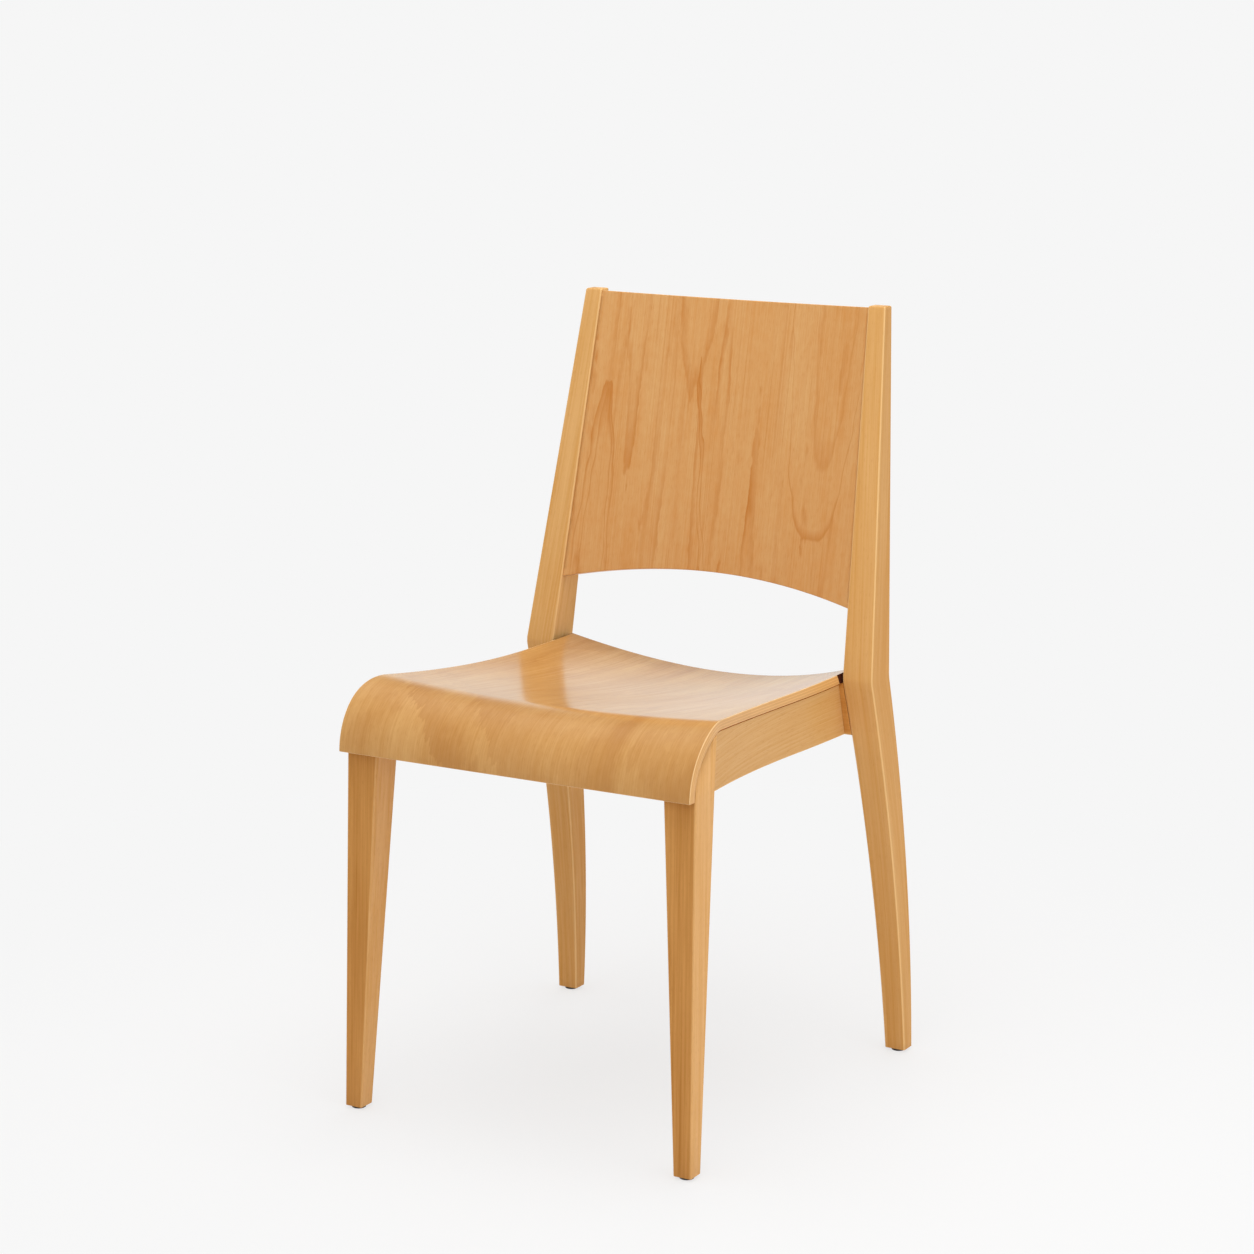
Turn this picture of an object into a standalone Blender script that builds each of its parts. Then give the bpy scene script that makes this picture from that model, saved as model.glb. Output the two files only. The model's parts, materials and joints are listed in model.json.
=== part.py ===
"""Church chair: a moulded plywood seat and back on a solid wood frame.

Metres, +Z up, standing on the floor at z = 0. The sitter faces -Y, and x = 0 is the plane of symmetry.
"""

import math

import bmesh
import bpy
from mathutils import Vector

# Overall sizes
CHAIR_HEIGHT = 0.850
CHAIR_DEPTH = 0.4948  # from the front of the seat to the back of the rear feet
GAP = 0.0003  # left between pieces that touch

# Front legs: at the floor, and at the lower edge of the seat's front
FRONT_FOOT_SPLAY = 0.0032  # outer face of the foot, outside that of the leg's top
FRONT_FOOT_WIDTH = 0.0207
FRONT_FOOT_DEPTH = 0.0211
FRONT_FOOT_SETBACK = 0.0044  # behind the front of the seat
FRONT_LEG_INSET = 0.0015  # outer face, inside the seat's edge
FRONT_LEG_WIDTH = 0.0368
FRONT_LEG_DEPTH = 0.0407
FRONT_LEG_SETBACK = 0.0138

# Rear legs: at the floor, at the knee below the seat's edge, and at the top
REAR_FOOT_SPLAY = 0.0088  # outer face of the foot, outside that of the knee
REAR_FOOT_WIDTH = 0.0246
REAR_FOOT_DEPTH = 0.0198
KNEE_DROP = 0.0061  # below the rear corners of the seat
KNEE_OUTER = 0.2222  # from the centre plane to the outer face
KNEE_WIDTH = 0.0359
KNEE_DEPTH = 0.0446
KNEE_FORWARD = 0.0611  # back of the knee, ahead of the back of the foot
TOP_LEAN = 0.0318  # outer face of the top, inside that of the knee
TOP_WIDTH = 0.0209
TOP_DEPTH = 0.0174
TOP_FORWARD = 0.0074
SABRE_Z = 0.220  # height of the control point of the lower leg's curve
SABRE_LEAN = 0.0155  # how far that point lies ahead of the front of the foot
ARRIS = 0.0018  # rounding of the legs' long edges
TOP_ROUND = 0.0022
FOOT_BEVEL = 0.0006

# Seat shell
SEAT_THICKNESS = 0.010
SEAT_FRONT_HALF = 0.2127  # half width at the front
SEAT_SLOT = 0.0048  # between the sides and the rear legs
SEAT_STRAIGHT = 0.1305  # straight length of the sides, from the rear corners
SEAT_FULL_WIDTH = 0.0444  # length from the front at which the sides reach the front width
SEAT_SKIRT_Z = 0.399  # lower edge of the rolled front
SEAT_NOSE_RADIUS = 0.0705
SEAT_NOSE_FALL = 0.114  # slope of the sides just behind the nose
SEAT_REAR_RISE = 0.0551  # rear corners, above the lower edge of the front
SEAT_REAR_INSET = 0.0084  # rear corners, ahead of the back of the knee
SEAT_DISH_FRONT = 0.009
SEAT_DISH_REAR = 0.033
SEAT_BOW = 0.039  # how far the rear edge bows backwards in the middle

# Back panel
PANEL_THICKNESS = 0.010
PANEL_RECESS = 0.003  # behind the front faces of the uprights
PANEL_SAG = 0.014  # hollow of the panel across its width
PANEL_TOP_DROP = 0.0016  # corners, below the tops of the uprights
PANEL_TOP_DIP = 0.0024
PANEL_LIFT = 0.0701  # lower corners, above the rear corners of the seat
PANEL_ARCH = 0.0200

# Rails
SIDE_RAIL_THICKNESS = 0.020
SIDE_RAIL_INSET = 0.0005  # outer face, inside the seat's edge
SIDE_RAIL_REAR_DROP = 0.0726  # lower edge, below the rear corners of the seat
SIDE_RAIL_BELLY = 0.0033  # how far the lower edge sags below a straight line
FRONT_RAIL_THICKNESS = 0.018
FRONT_RAIL_SETBACK = 0.009  # behind the front faces of the front legs
FRONT_RAIL_LIFT = 0.004  # lower edge, above that of the seat's front
REAR_RAIL_THICKNESS = 0.020
RAIL_ARRIS = 0.002

# Corner blocks
BLOCK_REACH = 0.059  # along each rail
BLOCK_HEIGHT = 0.030
BLOCK_CLEARANCE = 0.0015  # to the front legs

# Dowels and wood screws
DOWEL_RADIUS = 0.004
DOWEL_DEPTH = 0.018  # in a leg or along a rail
DOWEL_CROSS_DEPTH = 0.012  # across the thickness of the rear rail
PANEL_DOWEL_RADIUS = 0.003
PANEL_DOWEL_DEPTH = 0.012
DOWEL_CHAMFER = 0.0012
SCREW_RADIUS = 0.002
SCREW_HEAD_RADIUS = 0.004
SCREW_HEAD_HEIGHT = 0.0026
SCREW_TIP = 0.004
SCREW_UNDER_HEAD = 0.012  # wood under the head
SCREW_BITE = 0.013  # length in the rail
SEAT_SCREW_BITE = 0.0065  # length in the seat
SCREW_OFFSET = 0.033  # from the inner corner of the frame to the axis
SEAT_SCREW_OFFSET = 0.014
COUNTERBORE_CLEARANCE = 0.0006

# Glides
GLIDE_RADIUS = 0.0078
GLIDE_THICKNESS = 0.0028
GLIDE_EDGE = 0.0008
GLIDE_PIN_RADIUS = 0.0015
GLIDE_PIN_LENGTH = 0.014

# Mesh density
ARRIS_STEPS = 2
SABRE_STEPS = 10
SEAT_FLAT_STEPS = 12
SEAT_NOSE_STEPS = 9
SEAT_COLUMNS = 20
PANEL_ROWS = 10
PANEL_COLUMNS = 20
RAIL_STEPS = 12
BLOCK_STEPS = 4
ROUND_SEGMENTS = 16
SHEET_ARRIS = 0.0008
SHEET_ARRIS_STEPS = 2

# Places that follow from the sizes
SEAT_FRONT_Y = -CHAIR_DEPTH / 2
FOOT_BACK_Y = CHAIR_DEPTH / 2
NOSE_CENTRE_Y = SEAT_FRONT_Y + SEAT_NOSE_RADIUS
NOSE_TILT = math.atan(SEAT_NOSE_FALL)
NOSE_SWEEP = math.pi / 2 + NOSE_TILT
NOSE_END_Y = NOSE_CENTRE_Y + SEAT_NOSE_RADIUS * math.sin(NOSE_TILT)
NOSE_END_Z = SEAT_SKIRT_Z + SEAT_NOSE_RADIUS * math.cos(NOSE_TILT)
SEAT_REAR_Y = FOOT_BACK_Y - KNEE_FORWARD - SEAT_REAR_INSET
SEAT_RUN = SEAT_REAR_Y - NOSE_END_Y
SEAT_REAR_Z = SEAT_SKIRT_Z + SEAT_REAR_RISE
SEAT_WAIST_HALF = KNEE_OUTER - KNEE_WIDTH - SEAT_SLOT
KNEE_Z = SEAT_REAR_Z - KNEE_DROP
FRONT_LEG_OUTER = SEAT_FRONT_HALF - FRONT_LEG_INSET
PANEL_LOW_Z = SEAT_REAR_Z + PANEL_LIFT
SIDE_RAIL_FRONT_Z = SEAT_SKIRT_Z
SIDE_RAIL_REAR_Z = SEAT_REAR_Z - SIDE_RAIL_REAR_DROP
FRONT_RAIL_Z = SEAT_SKIRT_Z + FRONT_RAIL_LIFT
LEG_BOTTOM_Z = GLIDE_THICKNESS + GAP
SIDES = {"left": -1, "right": 1}
DOWELS = {  # radius, and depth before and after the joint
    "dowel": (DOWEL_RADIUS, DOWEL_DEPTH, DOWEL_DEPTH),
    "short_dowel": (DOWEL_RADIUS, DOWEL_DEPTH, DOWEL_CROSS_DEPTH),
    "panel_dowel": (PANEL_DOWEL_RADIUS, PANEL_DOWEL_DEPTH, PANEL_DOWEL_DEPTH),
}
SCREW_BITES = {"block_screw": SCREW_BITE, "seat_screw": SEAT_SCREW_BITE}


def mix(first, last, share):
    """The value at this share of the way from first to last, also beyond them."""
    return first + (last - first) * share


def bezier(first, control, last, share):
    """A quadratic curve's coordinate."""
    return mix(mix(first, control, share), mix(control, last, share), share)


def linear_colour(code):
    """An sRGB hex colour as linear red, green, blue and alpha."""
    values = [int(code[i : i + 2], 16) / 255 for i in (1, 3, 5)]
    return [v / 12.92 if v <= 0.04045 else ((v + 0.055) / 1.055) ** 2.4 for v in values] + [1.0]


def make_material(name, code, roughness, metallic=0.0):
    """A plain Principled material."""
    material = bpy.data.materials.new(name)
    material.use_nodes = True
    shader = material.node_tree.nodes["Principled BSDF"]
    shader.inputs["Base Color"].default_value = linear_colour(code)
    shader.inputs["Roughness"].default_value = roughness
    shader.inputs["Metallic"].default_value = metallic
    return material


def front_leg_section(z):
    """Inner x, outer x, front y and back y of a front leg at a height."""
    share = z / SEAT_SKIRT_Z
    outer = FRONT_LEG_OUTER + FRONT_FOOT_SPLAY * (1 - share)
    width = mix(FRONT_FOOT_WIDTH, FRONT_LEG_WIDTH, share)
    front = SEAT_FRONT_Y + mix(FRONT_FOOT_SETBACK, FRONT_LEG_SETBACK, share)
    depth = mix(FRONT_FOOT_DEPTH, FRONT_LEG_DEPTH, share)
    return outer - width, outer, front, front + depth


def sabre_share(z):
    """Where along the lower leg's curve it passes this height."""
    return z / (SABRE_Z + math.sqrt(SABRE_Z**2 + (KNEE_Z - 2 * SABRE_Z) * z))


def rear_leg_section(z):
    """Inner x, outer x, front y and back y of a rear leg at a height."""
    knee_back = FOOT_BACK_Y - KNEE_FORWARD
    if z <= KNEE_Z:
        share = z / KNEE_Z
        outer = KNEE_OUTER + REAR_FOOT_SPLAY * (1 - share)
        width = mix(REAR_FOOT_WIDTH, KNEE_WIDTH, share)
        along = sabre_share(z)
        foot_front = FOOT_BACK_Y - REAR_FOOT_DEPTH
        front = bezier(foot_front, foot_front - SABRE_LEAN, knee_back - KNEE_DEPTH, along)
        back = bezier(FOOT_BACK_Y, FOOT_BACK_Y, knee_back, along)
    else:
        share = (z - KNEE_Z) / (CHAIR_HEIGHT - KNEE_Z)
        outer = KNEE_OUTER - TOP_LEAN * share
        width = mix(KNEE_WIDTH, TOP_WIDTH, share)
        back = mix(knee_back, FOOT_BACK_Y - TOP_FORWARD, share)
        front = back - mix(KNEE_DEPTH, TOP_DEPTH, share)
    return outer - width, outer, front, back


def seat_half_width(y):
    """Half the seat's width: straight at the rear, flaring to the front width in a rounded corner."""
    waist_y = SEAT_REAR_Y - SEAT_STRAIGHT
    flare_y = SEAT_FRONT_Y + SEAT_FULL_WIDTH
    share = max(0.0, (waist_y - y) / (waist_y - flare_y))
    corner = 0.12
    if share > 1 + corner:
        share = 1.0
    elif share > 1 - corner:
        share -= (share - 1 + corner) ** 2 / (4 * corner)
    return mix(SEAT_WAIST_HALF, SEAT_FRONT_HALF, share**2)


def seat_side_z(y):
    """Height of the seat's top along its side edges."""
    if y < NOSE_END_Y:
        reach = min(1.0, abs(NOSE_CENTRE_Y - y) / SEAT_NOSE_RADIUS)
        return SEAT_SKIRT_Z + SEAT_NOSE_RADIUS * math.sqrt(1 - reach**2)
    behind = y - NOSE_END_Y
    lift = SEAT_REAR_Z - NOSE_END_Z + SEAT_NOSE_FALL * SEAT_RUN
    return NOSE_END_Z - SEAT_NOSE_FALL * behind + lift * (behind / SEAT_RUN) ** 2


def seat_top(along, across):
    """A point of the seat's upper face.

    along runs 0 to 1 from the rear edge to the nose and 1 to 2 down the rolled front, across -1 to 1.
    """
    hollow = 1 - across**2
    if along <= 1:
        share = 1 - along
        y = NOSE_END_Y + SEAT_RUN * share
        eased = share * share * (3 - 2 * share)
        dish = mix(SEAT_DISH_FRONT, SEAT_DISH_REAR, eased)
        bow = SEAT_BOW * share**2
        return Vector((seat_half_width(y) * across, y + bow * hollow, seat_side_z(y) - dish * hollow))
    turn = NOSE_SWEEP * (2 - along)
    y = NOSE_CENTRE_Y - SEAT_NOSE_RADIUS * math.cos(turn)
    rise = (SEAT_NOSE_RADIUS - SEAT_DISH_FRONT * hollow) * math.sin(turn)
    return Vector((seat_half_width(y) * across, y, SEAT_SKIRT_Z + rise))


def seat_point(along, across, depth):
    """A point this deep under the seat's upper face, square to it."""
    step = 0.002
    forward = seat_top(along + step, across) - seat_top(along - step, across)
    sideways = seat_top(along, across + step) - seat_top(along, across - step)
    outward = sideways.cross(-forward).normalized()
    return seat_top(along, across) - outward * depth


def seat_under_z(x, y):
    """Height of the seat's lower face over a place in plan, behind the nose."""
    share = (y - NOSE_END_Y) / SEAT_RUN
    for _ in range(12):
        across = x / seat_half_width(NOSE_END_Y + SEAT_RUN * share)
        share = (y - NOSE_END_Y - SEAT_BOW * share**2 * (1 - across**2)) / SEAT_RUN
    return seat_point(1 - share, across, SEAT_THICKNESS).z


def rear_rail_front(z):
    """The rear rail's front face: flat, flush with the rear legs where they carry it."""
    low = rear_leg_section(SIDE_RAIL_REAR_Z)[2]
    high = rear_leg_section(KNEE_Z)[2]
    return mix(low, high, (z - SIDE_RAIL_REAR_Z) / (KNEE_Z - SIDE_RAIL_REAR_Z))


def side_rail_outer(y):
    """Outer face of the right side rail."""
    return seat_half_width(y) - SIDE_RAIL_INSET


def side_rail_inner(y):
    """Inner face of the right side rail."""
    return side_rail_outer(y) - SIDE_RAIL_THICKNESS


def front_rail_front():
    """The front rail's front face."""
    return front_leg_section(SEAT_SKIRT_Z)[2] + FRONT_RAIL_SETBACK


def panel_front(z, across):
    """A point of the back panel's front face, between the uprights' inner faces."""
    inner, _, front, _ = rear_leg_section(z)
    return Vector(((inner - GAP) * across, front + PANEL_RECESS + PANEL_SAG * (1 - across**2), z))


def panel_inward():
    """Unit vector square to the back panel, away from the sitter."""
    low = rear_leg_section(KNEE_Z)[2]
    high = rear_leg_section(CHAIR_HEIGHT)[2]
    return Vector((0, CHAIR_HEIGHT - KNEE_Z, low - high)).normalized()


def rounded_outline(x0, x1, y0, y1, radius):
    """A rectangle with rounded corners, as (x, y) pairs."""
    centres = (
        (x1 - radius, y1 - radius),
        (x0 + radius, y1 - radius),
        (x0 + radius, y0 + radius),
        (x1 - radius, y0 + radius),
    )
    points = []
    for quarter, (x, y) in enumerate(centres):
        for step in range(ARRIS_STEPS + 1):
            angle = math.pi / 2 * (quarter + step / ARRIS_STEPS)
            points.append((x + radius * math.cos(angle), y + radius * math.sin(angle)))
    return points


def rail_outline(thickness, low, high):
    """A rail's cross-section as (depth from its outer face, z), with rounded lower edges."""
    points = [(0.0, high)]
    for centre, start in ((RAIL_ARRIS, math.pi), (thickness - RAIL_ARRIS, 1.5 * math.pi)):
        for step in range(ARRIS_STEPS + 1):
            angle = start + math.pi / 2 * step / ARRIS_STEPS
            depth = centre + RAIL_ARRIS * math.cos(angle)
            points.append((depth, low + RAIL_ARRIS + RAIL_ARRIS * math.sin(angle)))
    points.append((thickness, high))
    return points


def mesh_from(name, points, faces):
    """A mesh of these faces, all pointing outwards."""
    shape = bmesh.new()
    vertices = [shape.verts.new(point) for point in points]
    for face in faces:
        shape.faces.new([vertices[i] for i in face])
    bmesh.ops.recalc_face_normals(shape, faces=shape.faces)
    mesh = bpy.data.meshes.new(name)
    shape.to_mesh(mesh)
    shape.free()
    return mesh


def add_object(name, mesh):
    """An object in the scene that shows this mesh."""
    made = bpy.data.objects.new(name, mesh)
    bpy.context.scene.collection.objects.link(made)
    return made


def loft(name, rings):
    """A solid through closed rings of equally many points, with flat ends."""
    size = len(rings[0])
    points = [point for ring in rings for point in ring]
    faces = [list(range(size)), list(range(len(points) - size, len(points)))]
    for start in range(0, len(points) - size, size):
        for i in range(size):
            j = (i + 1) % size
            faces.append([start + i, start + j, start + size + j, start + size + i])
    return add_object(name, mesh_from(name, points, faces))


def sheet(name, front, back):
    """A solid between two grids of points, with its edges closed."""
    rows = len(front)
    columns = len(front[0])
    points = [point for grid in (front, back) for row in grid for point in row]
    behind = rows * columns
    faces = []
    for row in range(rows - 1):
        for column in range(columns - 1):
            first = row * columns + column
            quad = [first, first + 1, first + columns + 1, first + columns]
            faces.append(quad)
            faces.append([behind + i for i in reversed(quad)])
    rim = [column for column in range(columns)]
    rim += [row * columns + columns - 1 for row in range(1, rows)]
    rim += [(rows - 1) * columns + column for column in range(columns - 2, -1, -1)]
    rim += [row * columns for row in range(rows - 2, 0, -1)]
    for i, j in zip(rim, rim[1:] + rim[:1]):
        faces.append([i, j, behind + j, behind + i])
    return add_object(name, mesh_from(name, points, faces))


def turned_mesh(name, profile):
    """A solid turned about +Z from (z, radius) pairs."""
    points = []
    for z, radius in profile:
        for i in range(ROUND_SEGMENTS):
            angle = 2 * math.pi * i / ROUND_SEGMENTS
            points.append((radius * math.cos(angle), radius * math.sin(angle), z))
    faces = [list(range(ROUND_SEGMENTS)), list(range(len(points) - ROUND_SEGMENTS, len(points)))]
    for start in range(0, len(points) - ROUND_SEGMENTS, ROUND_SEGMENTS):
        for i in range(ROUND_SEGMENTS):
            j = (i + 1) % ROUND_SEGMENTS
            faces.append([start + i, start + j, start + ROUND_SEGMENTS + j, start + ROUND_SEGMENTS + i])
    return mesh_from(name, points, faces)


def place(made, start, direction):
    """Stands an object that was turned about +Z at start, along direction."""
    made.location = start
    made.rotation_euler = Vector((0, 0, 1)).rotation_difference(Vector(direction)).to_euler()
    return made


def plain_cutter(start, direction, length, radius):
    """A round cutter from start along direction."""
    mesh = turned_mesh("cutter", [(0, radius), (length, radius)])
    return place(add_object("cutter", mesh), start, direction)


def settle(made):
    """Applies an object's modifiers to its mesh."""
    bpy.context.view_layer.update()
    graph = bpy.context.evaluated_depsgraph_get()
    mesh = bpy.data.meshes.new_from_object(made.evaluated_get(graph))
    made.modifiers.clear()
    spent = made.data
    made.data = mesh
    mesh.name = made.name
    bpy.data.meshes.remove(spent)


def carve(made, cutters):
    """Cuts these solids out of an object, and removes them."""
    for cutter in cutters:
        cut = made.modifiers.new("cut", "BOOLEAN")
        cut.operation = "DIFFERENCE"
        cut.solver = "EXACT"
        cut.object = cutter
    settle(made)
    for cutter in cutters:
        spent = cutter.data
        bpy.data.objects.remove(cutter)
        bpy.data.meshes.remove(spent)


def round_rim(made):
    """Rounds the rim of a sheet a little."""
    bevel = made.modifiers.new("rim", "BEVEL")
    bevel.width = SHEET_ARRIS
    bevel.segments = SHEET_ARRIS_STEPS
    bevel.limit_method = "ANGLE"
    bevel.angle_limit = math.radians(60)
    settle(made)


def seat_sheet(name, outer_depth, inner_depth, margin=0.0):
    """The seat between two depths under its upper face, with its sides moved out by a share of its width."""
    rows = [i / SEAT_FLAT_STEPS for i in range(SEAT_FLAT_STEPS)]
    rows += [1 + i / SEAT_NOSE_STEPS for i in range(SEAT_NOSE_STEPS + 1)]
    columns = [mix(-1, 1, i / SEAT_COLUMNS) for i in range(SEAT_COLUMNS + 1)]
    if margin:
        columns = [-1 - margin] + columns + [1 + margin]
    outer = [[seat_point(row, column, outer_depth) for column in columns] for row in rows]
    inner = [[seat_point(row, column, inner_depth) for column in columns] for row in rows]
    return sheet(name, outer, inner)


def seat_room():
    """The space that the seat takes up, and all that lies above and before it."""
    above = 0.07
    return seat_sheet("cutter", -above, SEAT_THICKNESS + GAP, margin=0.06)


class Fastener:
    """A dowel or a screw: its object, and the holes that it needs."""

    def __init__(self, name, kind, start, direction, profile, counterbore=0.0):
        """Stands the piece at start, along direction. A counterbore runs back from the screw's head."""
        self.kind = kind
        self.start = Vector(start)
        self.direction = Vector(direction).normalized()
        self.length = profile[-1][0]
        self.radius = max(radius for z, radius in profile if z >= 0)
        self.counterbore = counterbore
        mesh = bpy.data.meshes.get(kind) or turned_mesh(kind, profile)
        self.made = place(add_object(name, mesh), self.start, self.direction)

    def holes(self):
        """Cutters for the shank and, on a screw, for the head."""
        start = self.start - self.direction * GAP
        cutters = [plain_cutter(start, self.direction, self.length + 2 * GAP, self.radius + GAP)]
        if self.counterbore:
            radius = SCREW_HEAD_RADIUS + COUNTERBORE_CLEARANCE
            seat = self.start + self.direction * GAP
            cutters.append(plain_cutter(seat, -self.direction, self.counterbore, radius))
        return cutters


def dowel(name, kind, joint, direction):
    """A dowel through a joint, in the sizes of its kind."""
    radius, before, after = DOWELS[kind]
    length = before + after - 2 * GAP
    narrow = radius - DOWEL_CHAMFER / 2
    profile = [(0, narrow), (DOWEL_CHAMFER, radius), (length - DOWEL_CHAMFER, radius), (length, narrow)]
    way = Vector(direction).normalized()
    return Fastener(name, kind, Vector(joint) - way * (before - GAP), way, profile)


def screw(name, kind, joint, direction):
    """A wood screw whose head sits in a corner block, and whose tip lies beyond the joint."""
    length = SCREW_UNDER_HEAD + SCREW_BITES[kind] - GAP
    head = SCREW_HEAD_RADIUS
    profile = [
        (-SCREW_HEAD_HEIGHT, head * 0.55),
        (-SCREW_HEAD_HEIGHT * 0.7, head * 0.9),
        (0, head),
        (0, SCREW_RADIUS),
        (length - SCREW_TIP, SCREW_RADIUS),
        (length, SCREW_RADIUS * 0.2),
    ]
    way = Vector(direction).normalized()
    made = Fastener(name, kind, Vector(joint) - way * SCREW_UNDER_HEAD, way, profile, BLOCK_REACH)
    made.radius = SCREW_RADIUS
    return made


def rear_rail_top():
    """Height of the seat's lower face over the ends of the rear rail."""
    return seat_under_z(SEAT_WAIST_HALF - SIDE_RAIL_THICKNESS, rear_rail_front(KNEE_Z))


def side_rail_front_dowels(name, side):
    """Dowels between a front leg and its side rail."""
    top = seat_under_z(side_rail_inner(NOSE_END_Y), NOSE_END_Y)
    made = []
    for i, share in enumerate((0.24, 0.64)):
        z = mix(SIDE_RAIL_FRONT_Z, top, share)
        joint = front_leg_section(z)[3]
        x = side_rail_outer(joint) - SIDE_RAIL_THICKNESS / 2
        made.append(dowel(f"{name}_{i + 1}", "dowel", (side * x, joint, z), (0, 1, 0)))
    return made


def side_rail_rear_dowels(name, side):
    """Dowels between a side rail and the rear rail."""
    made = []
    for i, share in enumerate((0.38, 0.82)):
        z = mix(SIDE_RAIL_REAR_Z, rear_rail_top(), share)
        joint = rear_rail_front(z)
        x = side_rail_outer(joint) - SIDE_RAIL_THICKNESS / 2
        made.append(dowel(f"{name}_{i + 1}", "short_dowel", (side * x, joint, z), (0, 1, 0)))
    return made


def front_rail_dowels(name, side):
    """Dowels between a front leg and the front rail."""
    y = front_rail_front() + FRONT_RAIL_THICKNESS / 2
    top = front_rail_top()
    made = []
    for i, share in enumerate((0.28, 0.74)):
        z = mix(FRONT_RAIL_Z, top, share)
        x = front_leg_section(z)[0]
        made.append(dowel(f"{name}_{i + 1}", "dowel", (side * x, y, z), (side, 0, 0)))
    return made


def front_rail_top():
    """Height of the seat's lower face over the front rail's front face, in the middle."""
    inside = SEAT_NOSE_RADIUS - SEAT_THICKNESS
    reach = (NOSE_CENTRE_Y - front_rail_front()) / inside
    return SEAT_SKIRT_Z + (inside - SEAT_DISH_FRONT) * math.sqrt(max(0.0, 1 - reach**2))


def rear_rail_dowels(name, side):
    """Dowels between a rear leg and the rear rail, at heights that miss those from the side rail."""
    made = []
    for i, share in enumerate((0.16, 0.60)):
        z = mix(SIDE_RAIL_REAR_Z, rear_rail_top(), share)
        y = rear_rail_front(z) + REAR_RAIL_THICKNESS / 2
        x = rear_leg_section(z)[0]
        made.append(dowel(f"{name}_{i + 1}", "dowel", (side * x, y, z), (side, 0, 0)))
    return made


def panel_dowels(name, side):
    """Dowels between an upright and the end of the back panel."""
    made = []
    for i, share in enumerate((0.16, 0.50, 0.84)):
        z = mix(PANEL_LOW_Z, CHAIR_HEIGHT - PANEL_TOP_DROP, share)
        halfway = 1 - PANEL_DOWEL_DEPTH / 2 / rear_leg_section(z)[0]
        joint = panel_front(z, halfway) + panel_inward() * PANEL_THICKNESS / 2
        joint.x = side * rear_leg_section(joint.z)[0]
        made.append(dowel(f"{name}_{i + 1}", "panel_dowel", joint, (side, 0, 0)))
    return made


class CornerBlock:
    """A block in a corner of the seat frame, screwed to two rails, that carries a seat screw."""

    def __init__(self, name, side, front):
        """Sets out the block in one corner of the frame."""
        self.name = name
        self.side = side
        self.front = front
        x, y = self.corner(KNEE_Z)
        way = 1 if front else -1
        self.seat_screw_at = (x - SEAT_SCREW_OFFSET, y + way * SEAT_SCREW_OFFSET)
        self.high = seat_side_z(y)
        self.low = seat_under_z(*self.seat_screw_at) - BLOCK_HEIGHT

    def corner(self, z):
        """The inner corner that the block fills: at a front leg, or between the side and rear rails."""
        if self.front:
            inner, _, _, back = front_leg_section(KNEE_Z)
            return inner - BLOCK_CLEARANCE, back + BLOCK_CLEARANCE
        y = rear_rail_front(z) - GAP
        return side_rail_inner(y) - GAP, y

    def ring(self, z):
        """The block's outline at one height."""
        x, y = self.corner(z)
        way = 1 if self.front else -1
        outline = []
        for i in range(BLOCK_STEPS + 1):
            along = y + way * BLOCK_REACH * i / BLOCK_STEPS
            outline.append((side_rail_inner(along) - GAP, along))
        across = self.cross_face() if self.front else y
        outline.append((x - BLOCK_REACH, across))
        if self.front:
            outline.append((x, across))
            outline.append((x, y))
        return [(self.side * px, py, z) for px, py in outline]

    def cross_face(self):
        """The face that lies against the front rail."""
        return front_rail_front() + FRONT_RAIL_THICKNESS + GAP

    def build(self):
        """The block before its holes are cut."""
        made = loft(self.name, [self.ring(self.low), self.ring(self.high)])
        carve(made, [seat_room()])
        return made

    def screws(self):
        """One screw into each rail, and one up into the seat."""
        way = 1 if self.front else -1
        z = mix(self.low, self.low + BLOCK_HEIGHT, 0.3)
        x, y = self.corner(z)
        along = y + way * SCREW_OFFSET
        side_joint = (self.side * side_rail_inner(along), along, z)
        across = self.cross_face() - GAP if self.front else rear_rail_front(z)
        cross_joint = (self.side * (x - SCREW_OFFSET), across, z)
        seat_x, seat_y = self.seat_screw_at
        seat_joint = (self.side * seat_x, seat_y, seat_under_z(seat_x, seat_y))
        name = self.name.replace("corner_block_", "")
        return [
            screw(f"block_screw_{name}_side", "block_screw", side_joint, (self.side, 0, 0)),
            screw(f"block_screw_{name}_cross", "block_screw", cross_joint, (0, -way, 0)),
            screw(f"seat_screw_{name}", "seat_screw", seat_joint, (0, 0, 1)),
        ]


def build_front_leg(name, side):
    """A front leg, tapered to the foot, with its top rounded under the seat's nose."""
    levels = [(LEG_BOTTOM_Z, FOOT_BEVEL), (LEG_BOTTOM_Z + FOOT_BEVEL, 0.0), (NOSE_END_Z, 0.0)]
    rings = []
    for z, inset in levels:
        inner, outer, front, back = front_leg_section(z)
        outline = rounded_outline(inner + inset, outer - inset, front + inset, back - inset, ARRIS)
        rings.append([(side * x, y, z) for x, y in outline])
    made = loft(name, rings)
    carve(made, [seat_room()])
    return made


def build_rear_leg(name, side):
    """A rear leg and upright in one piece."""
    levels = [(LEG_BOTTOM_Z, FOOT_BEVEL), (LEG_BOTTOM_Z + FOOT_BEVEL, 0.0)]
    for i in range(1, SABRE_STEPS + 1):
        levels.append((mix(LEG_BOTTOM_Z + FOOT_BEVEL, KNEE_Z, i / SABRE_STEPS), 0.0))
    for i in range(3):
        angle = math.pi / 4 * i
        levels.append((CHAIR_HEIGHT - TOP_ROUND * (1 - math.sin(angle)), TOP_ROUND * (1 - math.cos(angle))))
    rings = []
    for z, inset in levels:
        inner, outer, front, back = rear_leg_section(z)
        outline = rounded_outline(inner + inset, outer - inset, front + inset, back - inset, ARRIS)
        rings.append([(side * x, y, z) for x, y in outline])
    return loft(name, rings)


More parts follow.
